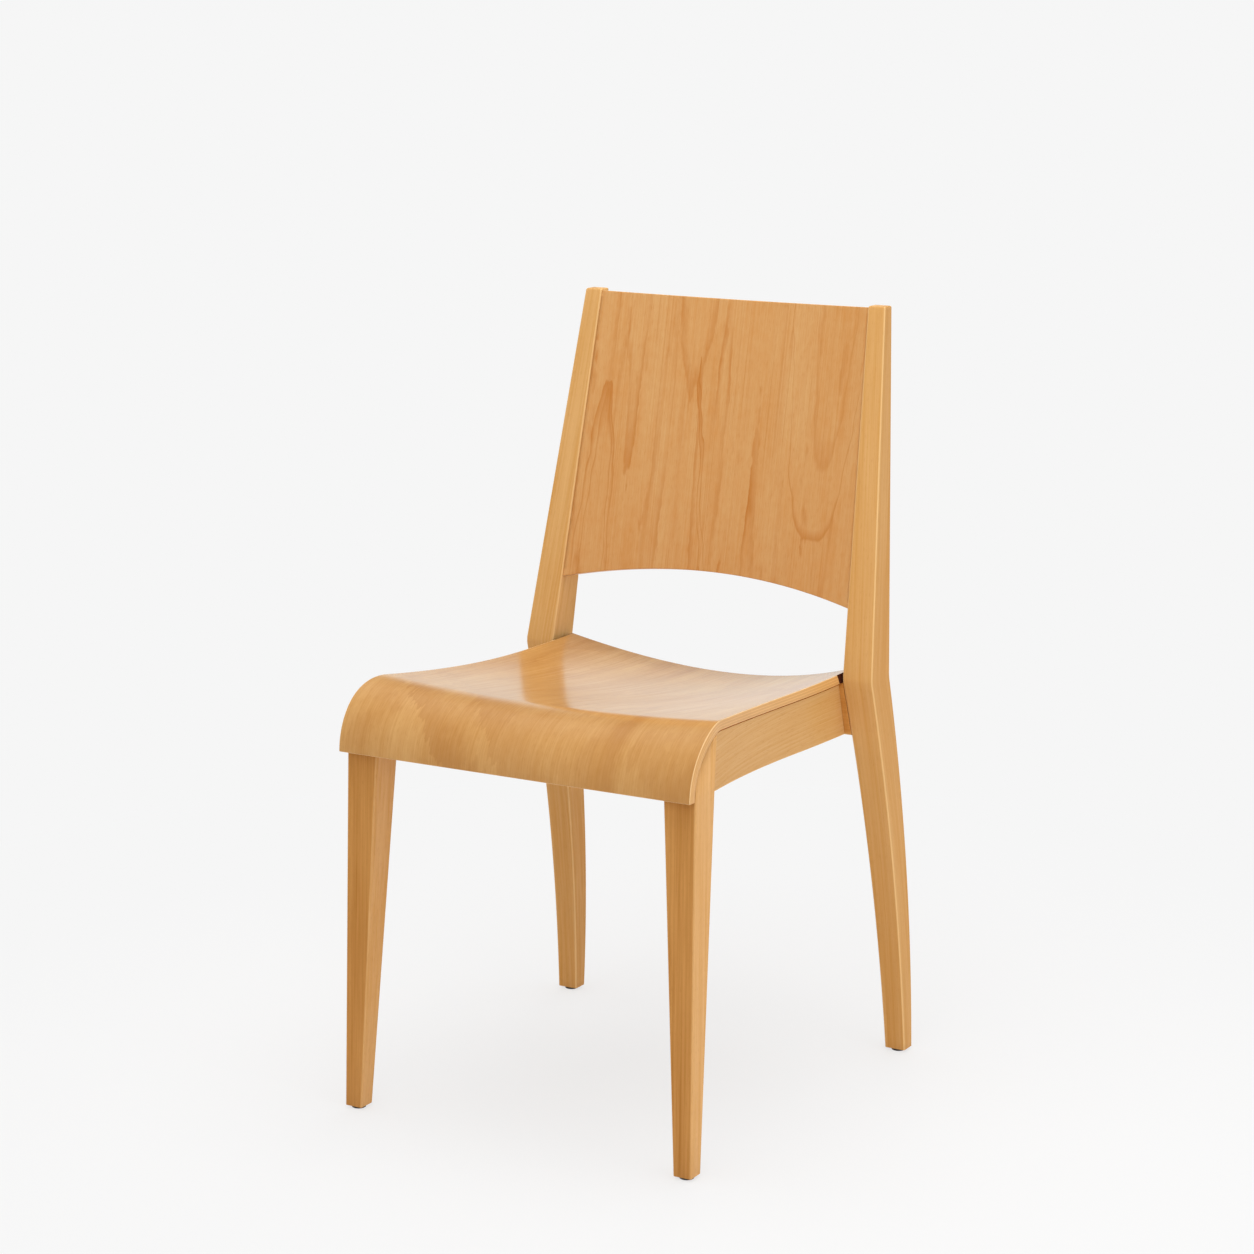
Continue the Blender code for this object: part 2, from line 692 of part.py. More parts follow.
def build_side_rail(name, side):
    """A side rail that follows the seat's edge, from a front leg to the rear rail."""
    rings = []
    for i in range(RAIL_STEPS + 1):
        share = i / RAIL_STEPS
        middle = mix(front_leg_section(KNEE_Z)[3], rear_rail_front(KNEE_Z), share)
        low = mix(SIDE_RAIL_FRONT_Z, SIDE_RAIL_REAR_Z, share) - 4 * SIDE_RAIL_BELLY * share * (1 - share)
        ring = []
        for depth, z in rail_outline(SIDE_RAIL_THICKNESS, low, seat_side_z(middle)):
            y = mix(front_leg_section(z)[3] + GAP, rear_rail_front(z) - GAP, share)
            ring.append((side * (side_rail_outer(y) - depth), y, z))
        rings.append(ring)
    made = loft(name, rings)
    carve(made, [seat_room()])
    return made


def build_front_rail():
    """The front rail, between the front legs."""
    rings = []
    for side in (-1, 1):
        ring = []
        for depth, z in rail_outline(FRONT_RAIL_THICKNESS, FRONT_RAIL_Z, NOSE_END_Z):
            x = front_leg_section(z)[0] - GAP
            ring.append((side * x, front_rail_front() + depth, z))
        rings.append(ring)
    made = loft("front_rail", rings)
    carve(made, [seat_room()])
    return made


def build_rear_rail():
    """The rear rail, leaning with the rear legs and hollowed under the seat."""
    rings = []
    for side in (-1, 1):
        ring = []
        for depth, z in rail_outline(REAR_RAIL_THICKNESS, SIDE_RAIL_REAR_Z, SEAT_REAR_Z):
            x = rear_leg_section(z)[0] - GAP
            ring.append((side * x, rear_rail_front(z) + depth, z))
        rings.append(ring)
    made = loft("rear_rail", rings)
    carve(made, [seat_room()])
    return made


def build_seat():
    """The seat shell."""
    made = seat_sheet("seat_shell", 0.0, SEAT_THICKNESS)
    round_rim(made)
    return made


def build_back_panel():
    """The back panel."""
    front = []
    for row in range(PANEL_ROWS + 1):
        points = []
        for column in range(PANEL_COLUMNS + 1):
            across = mix(-1, 1, column / PANEL_COLUMNS)
            hollow = 1 - across**2
            low = PANEL_LOW_Z + PANEL_ARCH * hollow
            high = CHAIR_HEIGHT - PANEL_TOP_DROP - PANEL_TOP_DIP * hollow
            points.append(panel_front(mix(low, high, row / PANEL_ROWS), across))
        front.append(points)
    inward = panel_inward() * PANEL_THICKNESS
    made = sheet("back_panel", front, [[point + inward for point in row] for row in front])
    round_rim(made)
    return made


def build_glide(name, centre):
    """A glide with its pin, under a foot."""
    mesh = bpy.data.meshes.get("glide") or turned_mesh(
        "glide",
        [
            (0, GLIDE_RADIUS - GLIDE_EDGE),
            (GLIDE_EDGE, GLIDE_RADIUS),
            (GLIDE_THICKNESS, GLIDE_RADIUS),
            (GLIDE_THICKNESS, GLIDE_PIN_RADIUS),
            (GLIDE_THICKNESS + GLIDE_PIN_LENGTH - GLIDE_PIN_RADIUS, GLIDE_PIN_RADIUS),
            (GLIDE_THICKNESS + GLIDE_PIN_LENGTH, GLIDE_PIN_RADIUS / 4),
        ],
    )
    return place(add_object(name, mesh), centre, (0, 0, 1))


def glide_hole(centre):
    """A cutter for a glide's pin."""
    start = Vector(centre) + Vector((0, 0, GLIDE_THICKNESS - GAP))
    return plain_cutter(start, (0, 0, 1), GLIDE_PIN_LENGTH + 2 * GAP, GLIDE_PIN_RADIUS + GAP)


def foot_centre(section, side):
    """The middle of a foot, on the floor."""
    inner, outer, front, back = section(LEG_BOTTOM_Z)
    return (side * (inner + outer) / 2, (front + back) / 2, 0)


def finish(made, material):
    """Gives a piece its material and smooth shading with sharp edges."""
    made.data.materials.clear()
    made.data.materials.append(material)
    made.data.shade_smooth()
    made.data.set_sharp_from_angle(angle=math.radians(35))


def main():
    """Builds the chair, piece by piece."""
    for made in list(bpy.data.objects):
        bpy.data.objects.remove(made)
    frame_wood = make_material("satin_beech_frame", "#C68F55", 0.38)
    shell_wood = make_material("satin_beech_plywood", "#CE9657", 0.32)
    hidden_wood = make_material("plain_beech", "#D9B98C", 0.6)
    steel = make_material("zinc_plated_steel", "#B9BCBE", 0.35, 1.0)
    plastic = make_material("dark_plastic_glide", "#2B2522", 0.5)

    pieces = {"front_rail": build_front_rail(), "rear_rail": build_rear_rail()}
    shells = {"seat_shell": build_seat(), "back_panel": build_back_panel()}
    blocks = {}
    glides = []
    dowels = []
    screws = []
    drilled = {}

    def drill(fasteners, *targets):
        """Notes which pieces these fasteners go through."""
        for target in targets:
            drilled.setdefault(target.name, []).extend(fasteners)

    for word, side in SIDES.items():
        front_leg = build_front_leg(f"front_leg_{word}", side)
        rear_leg = build_rear_leg(f"rear_leg_{word}", side)
        side_rail = build_side_rail(f"side_rail_{word}", side)
        pieces.update({made.name: made for made in (front_leg, rear_leg, side_rail)})
        for leg, section, place_word in (
            (front_leg, front_leg_section, "front"),
            (rear_leg, rear_leg_section, "rear"),
        ):
            centre = foot_centre(section, side)
            glides.append(build_glide(f"glide_{place_word}_{word}", centre))
            carve(leg, [glide_hole(centre)])

        joints = (
            (side_rail_front_dowels(f"dowel_side_front_{word}", side), front_leg, side_rail),
            (side_rail_rear_dowels(f"dowel_side_rear_{word}", side), side_rail, pieces["rear_rail"]),
            (front_rail_dowels(f"dowel_front_rail_{word}", side), front_leg, pieces["front_rail"]),
            (rear_rail_dowels(f"dowel_rear_rail_{word}", side), rear_leg, pieces["rear_rail"]),
            (panel_dowels(f"dowel_back_panel_{word}", side), rear_leg, shells["back_panel"]),
        )
        for made, first, second in joints:
            dowels += made
            drill(made, first, second)

        for place_word in ("front", "rear"):
            block = CornerBlock(f"corner_block_{place_word}_{word}", side, place_word == "front")
            solid = block.build()
            blocks[solid.name] = solid
            into_side, into_cross, into_seat = block.screws()
            screws += [into_side, into_cross, into_seat]
            drill([into_side], solid, side_rail)
            drill([into_cross], solid, pieces[f"{place_word}_rail"])
            drill([into_seat], solid, shells["seat_shell"])

    for name, fasteners in drilled.items():
        carve(bpy.data.objects[name], [cutter for fastener in fasteners for cutter in fastener.holes()])

    for group, material in (
        (pieces.values(), frame_wood),
        (shells.values(), shell_wood),
        (blocks.values(), hidden_wood),
        ([fastener.made for fastener in dowels], hidden_wood),
        ([fastener.made for fastener in screws], steel),
        (glides, plastic),
    ):
        for made in group:
            finish(made, material)

    chair = add_object("church_chair", None)
    panel_top = CHAIR_HEIGHT - PANEL_TOP_DROP - PANEL_TOP_DIP
    panel_back = panel_front(panel_top, 0.0) + panel_inward() * PANEL_THICKNESS
    chair.location.y = -max(0.0, panel_back.y - FOOT_BACK_Y) / 2
    for made in list(bpy.data.objects):
        if made != chair:
            made.parent = chair


main()
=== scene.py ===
"""Looks of a church chair: a moulded beech plywood seat and back on a solid beech frame.

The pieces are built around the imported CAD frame, in its metres: +Z is up, the floor is z = 0, the sitter
faces -Y, and x = 0 is the plane of symmetry. Formulas lie in the drawing's own frame, which a small shift
in y takes to the CAD's.
"""

import json
import logging
import math
from collections.abc import Callable, Iterable
from dataclasses import dataclass, field
from enum import Enum
from functools import partial

import bpy
from mathutils import Matrix, Vector

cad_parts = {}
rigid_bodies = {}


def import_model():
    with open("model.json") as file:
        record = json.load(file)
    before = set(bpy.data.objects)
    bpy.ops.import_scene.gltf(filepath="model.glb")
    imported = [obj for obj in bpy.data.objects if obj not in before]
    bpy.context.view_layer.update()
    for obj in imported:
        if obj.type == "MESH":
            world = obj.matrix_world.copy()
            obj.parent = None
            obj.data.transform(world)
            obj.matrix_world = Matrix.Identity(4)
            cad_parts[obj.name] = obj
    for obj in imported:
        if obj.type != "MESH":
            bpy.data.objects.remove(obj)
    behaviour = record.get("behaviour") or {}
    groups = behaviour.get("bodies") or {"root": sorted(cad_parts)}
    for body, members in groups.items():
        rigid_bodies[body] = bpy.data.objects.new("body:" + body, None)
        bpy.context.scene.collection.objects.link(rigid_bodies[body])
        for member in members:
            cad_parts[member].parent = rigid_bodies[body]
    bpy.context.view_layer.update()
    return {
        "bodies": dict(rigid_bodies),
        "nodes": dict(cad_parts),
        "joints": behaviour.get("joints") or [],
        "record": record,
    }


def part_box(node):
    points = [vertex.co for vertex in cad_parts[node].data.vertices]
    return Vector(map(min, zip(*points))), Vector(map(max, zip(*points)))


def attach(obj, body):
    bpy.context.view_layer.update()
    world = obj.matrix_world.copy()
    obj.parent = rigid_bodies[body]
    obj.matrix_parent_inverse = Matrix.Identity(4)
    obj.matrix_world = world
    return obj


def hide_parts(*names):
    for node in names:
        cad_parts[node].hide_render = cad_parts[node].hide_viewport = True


LOG = logging.getLogger("church_chair")
BODY = "root"
MM = 0.001
GAP = 0.3 * MM  # left between pieces that touch
TINY = 1e-9
IMAGE_SIZE = 1254  # pixels, both ways
GRAIN_MAP = "grain"  # UV map in metres: across the fibres, and along them
ARRIS_SHARE = "arris"  # 1 on the rounded edges of solid wood, 0 on its faces
PAINTED_SHADE_SHARE = "stain"  # 1 where a leg or rail gets its darkest colours as painted shade, 0 where it keeps its lighter ones
BOARD_PLACE = "board"  # a point's place in a straightened leg or rail, in metres
BOARD_STEP = Vector((0.31, 0.17, 0.43))  # from one board's figure to the next, in metres
SCREW_WAY = "way"  # direction from a screw's head to its tip
ARRIS_STEPS = 6
FLAT_STEPS = 12
RING_START = ARRIS_STEPS + FLAT_STEPS // 2  # index of the point in the middle of a leg's back
BEVEL_BEND = 0.3  # where the bevel under a foot bends, as a share of its size
CRISP_ANGLE = math.radians(35)  # edges that turn more than this stay crisp
NOISE_LOW = 0.3  # most values of a noise texture lie between these two
NOISE_HIGH = 0.7
RINGS_PER_UNIT = 20 / math.tau  # rings of a wave texture in one unit of its space
RELIEF = 0.2 * MM  # height of the wood's own texture

Tree = bpy.types.NodeTree
Node = bpy.types.Node
Socket = bpy.types.NodeSocket
Source = Node | Socket
AddNode = Callable[..., Node]  # add_node with its tree filled in
Material = bpy.types.Material
Faces = list[list[int]]
Pair = tuple[float, float]
Triple = tuple[float, float, float]


class Side(Enum):
    """The chair's two sides, as someone who faces it sees them."""

    LEFT = -1
    RIGHT = 1

    @property
    def word(self) -> str:
        """The side's name in the names of pieces."""
        return self.name.lower()


CORNERS = [f"{place}_{side.word}" for place in ("front", "rear") for side in Side]


class Grain(Enum):
    """The axis that a piece's fibres follow."""

    ACROSS = 0
    LENGTHWISE = 1
    UPRIGHT = 2

    @property
    def letter(self) -> str:
        """The axis as Blender's nodes name it."""
        return "XYZ"[self.value]

    def scale(self, width: float, length: float) -> Triple:
        """A mapping scale for marks of this width across the fibres and length along them, in metres."""
        return tuple(1 / (length if axis == self.value else width) for axis in range(3))


class Zone(Enum):
    """The kinds of surface on a sheet of plywood, by their material's index."""

    FACE = 0
    EDGE = 1
    SLOT = 2  # the part of the edge in the slot beside a rear leg, coloured near black as painted shade


def mix(first: float, last: float, share: float) -> float:
    """The value at this share of the way from first to last."""
    return first + (last - first) * share


def bezier(first: float, control: float, last: float, share: float) -> float:
    """A coordinate of a quadratic curve."""
    return mix(mix(first, control, share), mix(control, last, share), share)


def linear_colour(code: str) -> tuple[float, float, float, float]:
    """Turns an sRGB hex colour to linear light.

    Args:
        code: The colour, as "#RRGGBB".

    Returns:
        Red, green, blue and an alpha of 1.
    """
    shares = [int(code[i : i + 2], 16) / 255 for i in (1, 3, 5)]
    red, green, blue = (s / 12.92 if s <= 0.04045 else ((s + 0.055) / 1.055) ** 2.4 for s in shares)
    return red, green, blue, 1.0


def feed(tree: Tree, node: Node, inputs: dict) -> None:
    """Sets or links a node's inputs.

    Args:
        tree: The tree that the node is in.
        node: The node.
        inputs: What each input gets, by its name or index: a value, a socket, or a node for its first output.
    """
    for key, value in inputs.items():
        source = value.outputs[0] if isinstance(value, Node) else value
        if isinstance(source, Socket):
            tree.links.new(source, node.inputs[key])
        else:
            node.inputs[key].default_value = source


def add_node(tree: Tree, kind: str, inputs: dict | None = None, **settings: object) -> Node:
    """Adds a node with its settings and links.

    Args:
        tree: The tree that gets the node.
        kind: The node's type.
        inputs: What each input gets, as for feed.
        settings: The node's own properties.

    Returns:
        The new node.
    """
    node = tree.nodes.new(kind)
    for name, value in settings.items():
        setattr(node, name, value)
    feed(tree, node, inputs or {})
    return node


def start_material(name: str) -> tuple[Material, Node, AddNode]:
    """Makes a material with a Principled shader.

    Args:
        name: The material's name.

    Returns:
        The material, its shader, and what adds a node to its tree.
    """
    material = bpy.data.materials.new(name)
    material.use_nodes = True
    tree = material.node_tree
    return material, tree.nodes["Principled BSDF"], partial(add_node, tree)


def start_rule(
    name: str, sizes: Iterable[str], on_points: bool
) -> tuple[Tree, AddNode, bpy.types.bpy_prop_collection]:
    """Makes a Geometry Nodes tree with named inputs.

    Args:
        name: The tree's name.
        sizes: Names of its inputs for sizes.
        on_points: Whether it takes in an object's points too.

    Returns:
        The tree, what adds a node to it, and the sockets of its inputs.
    """
    tree = bpy.data.node_groups.new(name, "GeometryNodeTree")
    if on_points:
        tree.interface.new_socket("Geometry", in_out="INPUT", socket_type="NodeSocketGeometry")
    for size in sizes:
        tree.interface.new_socket(size, in_out="INPUT", socket_type="NodeSocketFloat")
    tree.interface.new_socket("Geometry", in_out="OUTPUT", socket_type="NodeSocketGeometry")
    node = partial(add_node, tree)
    return tree, node, node("NodeGroupInput").outputs


# Finishes


def draw_marks(
    node: AddNode,
    spot: Source,
    grain: Grain,
    marks: dict[str, Pair],
    offset: Triple = (0.0, 0.0, 0.0),
) -> dict[str, Node]:
    """Adds a noise texture for each kind of mark in a wood.

    Args:
        node: Adds a node to the tree.
        spot: The surface's coordinates, in metres.
        grain: The coordinate that the fibres follow.
        marks: Width and length of each kind, in millimetres.
        offset: Shift of the patterns, in sizes of a mark.

    Returns:
        The textures, by kind.
    """
    noise = {}
    for word, (width, length) in marks.items():
        scale = grain.scale(width * MM, length * MM)
        spread = node("ShaderNodeMapping", {"Vector": spot, "Scale": scale, "Location": offset})
        noise[word] = node("ShaderNodeTexNoise", {"Vector": spread, "Scale": 1.0, "Detail": 2.0})
    return noise


def weigh(node: AddNode, parts: list[tuple[Node, float]]) -> Node:
    """Adds nodes for the tone that textures make together, which is 0.5 where all are at their middle.

    Args:
        node: Adds a node to the tree.
        parts: The textures, each with its share.

    Returns:
        The node that gives the tone.
    """
    tone = 0.5 - 0.5 * sum(share for _, share in parts)
    for source, share in parts:
        tone = node("ShaderNodeMath", {0: source, 1: share, 2: tone}, operation="MULTIPLY_ADD")
    return tone


def lay_colours(node: AddNode, ground: str | Source, layers: list[tuple[Source, str | Source]]) -> Socket:
    """Adds nodes that lay colours over one another.

    Args:
        node: Adds a node to the tree.
        ground: The lowest colour, as a hex code or from a node.
        layers: What lies on it, from below: where it shows, from 0 to 1, and its colour.

    Returns:
        The colour that shows.
    """
    shown = linear_colour(ground) if isinstance(ground, str) else ground
    for mask, colour in layers:
        over = linear_colour(colour) if isinstance(colour, str) else colour
        shown = node("ShaderNodeMix", {0: mask, 6: shown, 7: over}, data_type="RGBA").outputs[2]
    return shown


def roughen(
    node: AddNode, texture: Node, roughness: Pair, strength: float, relief: float
) -> dict[str, Node]:
    """Adds nodes for a surface whose roughness and height follow a texture.

    Args:
        node: Adds a node to the tree.
        texture: The texture.
        roughness: Where the texture is low, and where it is high.
        strength: Strength of the relief.
        relief: Height of the relief, in metres.

    Returns:
        What the shader's inputs get.
    """
    levels = {0: texture, 1: NOISE_LOW, 2: NOISE_HIGH, 3: roughness[0], 4: roughness[1]}
    height = {"Strength": strength, "Distance": relief, "Height": texture}
    return {"Roughness": node("ShaderNodeMapRange", levels), "Normal": node("ShaderNodeBump", height)}


@dataclass(frozen=True)
class Lacquer:
    """Clear satin lacquer: a thin smooth film that mirrors a pale surround softly, most at a flat angle."""

    roughness: float = 0.20
    weight: float = 1.0
    ior: float = 1.3
    under_gloss: float = 0.0  # what is left of the wood's own gloss under the film

    def lay_on(self, shader: Node) -> None:
        """Coats a Principled shader, and dulls what lies under the film.

        Args:
            shader: The shader.
        """
        shader.inputs["Coat Weight"].default_value = self.weight
        shader.inputs["Coat Roughness"].default_value = self.roughness
        shader.inputs["Coat IOR"].default_value = self.ior
        shader.inputs["Specular IOR Level"].default_value = self.under_gloss


@dataclass(frozen=True)
class SolidBeech:
    """Sawn and planed beech with a honey-brown stain: faint rings, long streaks and short dark ray flecks,
    with darker colours as painted shade and paler rounded edges, partly wear and partly painted highlight,
    where a piece's shares ask for them.
    """

    name: str
    grain: Grain
    on_board: bool = False  # whether the fibres follow a leaning or bent piece, by its board places
    pale: str = "#DAAD75"
    dark: str = "#CA934E"
    fleck: str = "#B5732F"
    arris: str = "#F0CB92"
    rubbed: float = 0.60  # how far the rounded edges turn to the arris colour, which is partly stain worn thin and partly painted highlight
    stained: tuple[str, str] | None = None  # pale and dark colours of painted shade, for the faces and seams that stand in shade
    streaks: float = 1.2  # their share in the tone
    ring_size: Pair = (4.0, 60.0)  # width and length of a growth ring, in millimetres
    heart: Triple = (4.0, 5.0, 3.0)  # shift of the rings' middle, which puts it outside the piece
    fleck_levels: Pair = (0.58, 0.74)  # of the noise, where a fleck starts and is whole
    fleck_share: float = 0.30
    lacquer: Lacquer | None = Lacquer(weight=0.4)
    roughness: Pair = (0.50, 0.40)
    relief: float = 0.12  # strength of the fibres' relief

    def build(self) -> Material:
        """Makes the material, on Object coordinates or board places.

        Returns:
            The material.
        """
        material, shader, node = start_material(self.name)
        if self.on_board:
            spot = node("ShaderNodeAttribute", attribute_name=BOARD_PLACE).outputs["Vector"]
        else:
            spot = node("ShaderNodeTexCoord").outputs["Object"]

        # Marks by their width and length; flecks are drawn wider than the real 0.3 mm, so that they show
        marks = {"blotch": (45, 170), "streak": (6, 300), "fibre": (1.5, 70), "fleck": (1.0, 8)}
        noise = draw_marks(node, spot, self.grain, marks)
        scale = self.grain.scale(*(length * MM * RINGS_PER_UNIT for length in self.ring_size))
        heart = node("ShaderNodeMapping", {"Vector": spot, "Scale": scale, "Location": self.heart})
        settings = {"wave_type": "RINGS", "rings_direction": self.grain.letter, "wave_profile": "SAW"}
        inputs = {"Vector": heart, "Scale": 1.0, "Distortion": 2.5, "Detail": 2.0, "Detail Scale": 0.6}
        rings = node("ShaderNodeTexWave", inputs, **settings)
        parts = [(noise["blotch"], 0.5), (noise["streak"], self.streaks), (noise["fibre"], 0.8), (rings, 0.2)]
        tone = weigh(node, parts)

        wood = lay_colours(node, self.dark, [(tone, self.pale)])
        # Painted shade: where a point's share is high, the wood turns to a darker pair of colours
        if self.stained:
            deep = lay_colours(node, self.stained[1], [(tone, self.stained[0])])
            share = node("ShaderNodeAttribute", attribute_name=PAINTED_SHADE_SHARE).outputs["Fac"]
            wood = lay_colours(node, wood, [(share, deep)])
        low, high = self.fleck_levels
        fleck = node("ShaderNodeMapRange", {0: noise["fleck"], 1: low, 2: high, 3: 0.0, 4: self.fleck_share})
        # Paler rounded edges: partly stain worn thin, partly painted highlight
        edge = node("ShaderNodeAttribute", attribute_name=ARRIS_SHARE).outputs["Fac"]
        rubbed = node("ShaderNodeMath", {0: edge, 1: self.rubbed}, operation="MULTIPLY")
        wood = lay_colours(node, wood, [(fleck, self.fleck), (rubbed, self.arris)])

        surface = roughen(node, noise["fibre"], self.roughness, self.relief, RELIEF)
        feed(material.node_tree, shader, {"Base Color": wood} | surface)
        if self.lacquer:
            self.lacquer.lay_on(shader)
        return material


@dataclass(frozen=True)
class Crown:
    """A flame in peeled veneer, where the knife grazed a growth ring: dark at its edge, and paler inside."""

    across: float  # place of the tip, in metres of the grain map
    along: float
    half_width: float  # one height from the tip
    height: float  # negative where the flame opens downwards
    power: float = 3.0  # 2 for a pointed flame, more for a round one
    fade: float = 0.2  # how far inside the dark reaches, in heights
    lean: float = 0.0  # shift across for each metre along
    depth: float = 0.7
    tear: float = 0.2  # how torn its edge is, in heights
    soft: float = 0.04  # how softly it starts, in heights

    def draw(self, node: AddNode, spot: Source, drift: Source, tear: Source, rings: Source) -> Node:
        """Adds nodes that draw the flame: its edge is where the height equals a power of the distance aside.

        Args:
            node: Adds a node to the tree.
            spot: The grain map's coordinates.
            drift: How far the flame's sides wander, in metres.
            tear: The noise that tears its edge.
            rings: How dark the rings around it are.

        Returns:
            The node that gives how dark the rings and the flame are.
        """
        place = node("ShaderNodeSeparateXYZ", {0: spot}).outputs
        above = node("ShaderNodeMath", {0: place[1], 1: self.along}, operation="SUBTRACT")
        axis = node("ShaderNodeMath", {0: above, 1: self.lean, 2: self.across}, operation="MULTIPLY_ADD")
        aside = node("ShaderNodeMath", {0: place[0], 1: axis}, operation="SUBTRACT")
        aside = node("ShaderNodeMath", {0: aside, 1: drift}, operation="ADD")
        aside = node("ShaderNodeMath", {0: aside, 1: 1 / self.half_width}, operation="MULTIPLY")
        aside = node("ShaderNodeMath", {0: aside}, operation="ABSOLUTE")
        aside = node("ShaderNodeMath", {0: aside, 1: self.power}, operation="POWER")
        above = node("ShaderNodeMath", {0: above, 1: 1 / self.height}, operation="MULTIPLY")
        above = node("ShaderNodeMath", {0: tear, 1: self.tear, 2: above}, operation="MULTIPLY_ADD")
        inside = node("ShaderNodeMath", {0: above, 1: aside}, operation="SUBTRACT")
        edge = {0: inside, 1: 0.0, 2: self.soft}
        within = node("ShaderNodeMapRange", edge, interpolation_type="SMOOTHSTEP")
        late = node("ShaderNodeMapRange", {0: inside, 1: 0.0, 2: self.fade, 3: self.depth, 4: 0.0})
        return node("ShaderNodeMix", {0: within, 2: rings, 3: late})


@dataclass(frozen=True)
class BeechVeneer:
    """Peeled beech veneer, stained honey brown: soft bands, thin rings, a few broad flames and fine pores."""

    name: str
    pale: str = "#D7A971"
    dark: str = "#CC8D4C"
    line: str = "#BA7028"
    crowns: tuple[Crown, ...] = ()
    ring_size: Pair = (60.0, 1300.0)  # width and length of the rings' waves, in millimetres
    ring_lines: float = 8.0  # how many rings cross one wave
    ring_start: float = 0.55  # where in its width a ring starts to darken
    ring_end: float = 0.92  # where it is darkest, near its edge
    ring_share: Pair = (0.05, 0.8)  # where the rings fade most, and where they show best
    ring_levels: Pair = (0.42, 0.68)  # of the noise, for those two
    ragged: float = 0.5  # how far the rings wander, in their own widths
    tear: float = 0.35  # how torn their edges are, in their own widths
    drift: float = 0.020  # how far the flames' sides wander, in metres
    patch_size: Pair = (20.0, 120.0)  # of dark patches, in millimetres
    patch_from: float = 0.78  # level of the noise at which they start: higher for fewer
    patch_edge: float = 0.10  # how softly they end
    patch_tear: float = 0.25  # how torn their edges are
    patch_share: float = 0.45
    shares: tuple[float, float, float, float] = (0.9, 0.55, 0.75, 0.5)  # blotches, bands, fibres and mottle
    pin_share: float = 0.32  # of thin lines, which run in groups where the rings fade
    pin_groups: Pair = (0.58, 0.42)  # levels of the noise, where a group starts and is whole
    pin_levels: Pair = (0.55, 0.68)  # of the noise, where a line starts and is whole
    pore_levels: Pair = (0.56, 0.74)
    pore_share: float = 0.30
    fibre_width: float = 1.5
    offset: Triple = (0.0, 0.0, 0.0)
    lacquer: Lacquer = Lacquer()
    roughness: Pair = (0.47, 0.37)
    relief: float = 0.08

    def build(self) -> Material:
        """Makes the material, on the piece's grain map.

        Returns:
            The material.
        """
        material, shader, node = start_material(self.name)
        spot = node("ShaderNodeUVMap", uv_map=GRAIN_MAP)

        # Marks by their width and length; pores are drawn wider than the real 0.1 mm, so that they show
        marks = {
            "blotch": (60, 240),
            "band": (14, 110),
            "fibre": (self.fibre_width, 130),
            "pore": (0.9, 9),
            "mottle": (6, 13),
            "pin": (1.3, 320),
            "ring": self.ring_size,
            "wander": (30, 90),
            "tear": (5, 20),
            "fade": (25, 200),
            "patch": self.patch_size,
        }
        noise = draw_marks(node, spot, Grain.LENGTHWISE, marks, self.offset)
        rings = self.rings(node, noise)
        drift = node("ShaderNodeMapRange", {0: noise["wander"], 3: -self.drift / 2, 4: self.drift / 2})
        for crown in self.crowns:
            rings = crown.draw(node, spot, drift, noise["tear"], rings)

        words = ("blotch", "band", "fibre", "mottle")
        tone = weigh(node, [(noise[word], share) for word, share in zip(words, self.shares)])
        patch = {0: noise["tear"], 1: self.patch_tear, 2: noise["patch"]}
        patch = node("ShaderNodeMath", patch, operation="MULTIPLY_ADD")
        whole = self.patch_from + self.patch_edge
        patch = {0: patch, 1: self.patch_from, 2: whole, 3: 0.0, 4: self.patch_share}
        patch = node("ShaderNodeMapRange", patch)
        group = {0: noise["fade"], 1: self.pin_groups[0], 2: self.pin_groups[1], 3: 0.0, 4: self.pin_share}
        pins = node("ShaderNodeMapRange", {0: noise["pin"], 1: self.pin_levels[0], 2: self.pin_levels[1]})
        pins = {0: pins, 1: node("ShaderNodeMapRange", group)}
        pins = node("ShaderNodeMath", pins, operation="MULTIPLY")
        low, high = self.pore_levels
        pores = node("ShaderNodeMapRange", {0: noise["pore"], 1: low, 2: high, 3: 0.0, 4: self.pore_share})
        layers = [(tone, self.pale), *((mask, self.line) for mask in (rings, patch, pins, pores))]
        wood = lay_colours(node, self.dark, layers)

        surface = roughen(node, noise["fibre"], self.roughness, self.relief, RELIEF)
        feed(material.node_tree, shader, {"Base Color": wood} | surface)
        self.lacquer.lay_on(shader)
        return material

    def rings(self, node: AddNode, noise: dict[str, Node]) -> Node:
        """Adds nodes for growth rings: each darkens slowly, ends at an edge, and comes and goes.

        Args:
            node: Adds a node to the tree.
            noise: The textures of the marks.

        Returns:
            The node that gives how dark the rings are.
        """
        phase = node("ShaderNodeMath", {0: noise["ring"], 1: self.ring_lines}, operation="MULTIPLY")
        for word, share in (("wander", self.ragged), ("tear", self.tear)):
            phase = node("ShaderNodeMath", {0: noise[word], 1: share, 2: phase}, operation="MULTIPLY_ADD")
        saw = node("ShaderNodeMath", {0: phase}, operation="FRACT")
        late = {0: saw, 1: self.ring_start, 2: self.ring_end}
        late = node("ShaderNodeMapRange", late, interpolation_type="SMOOTHSTEP")
        edge = {0: saw, 1: self.ring_end, 2: 1.0, 3: 1.0, 4: 0.0}
        edge = node("ShaderNodeMapRange", edge, interpolation_type="SMOOTHSTEP")
        levels = dict(enumerate((noise["fade"], *self.ring_levels, *self.ring_share)))
        late = node("ShaderNodeMath", {0: late, 1: edge}, operation="MULTIPLY")
        return node("ShaderNodeMath", {0: late, 1: node("ShaderNodeMapRange", levels)}, operation="MULTIPLY")


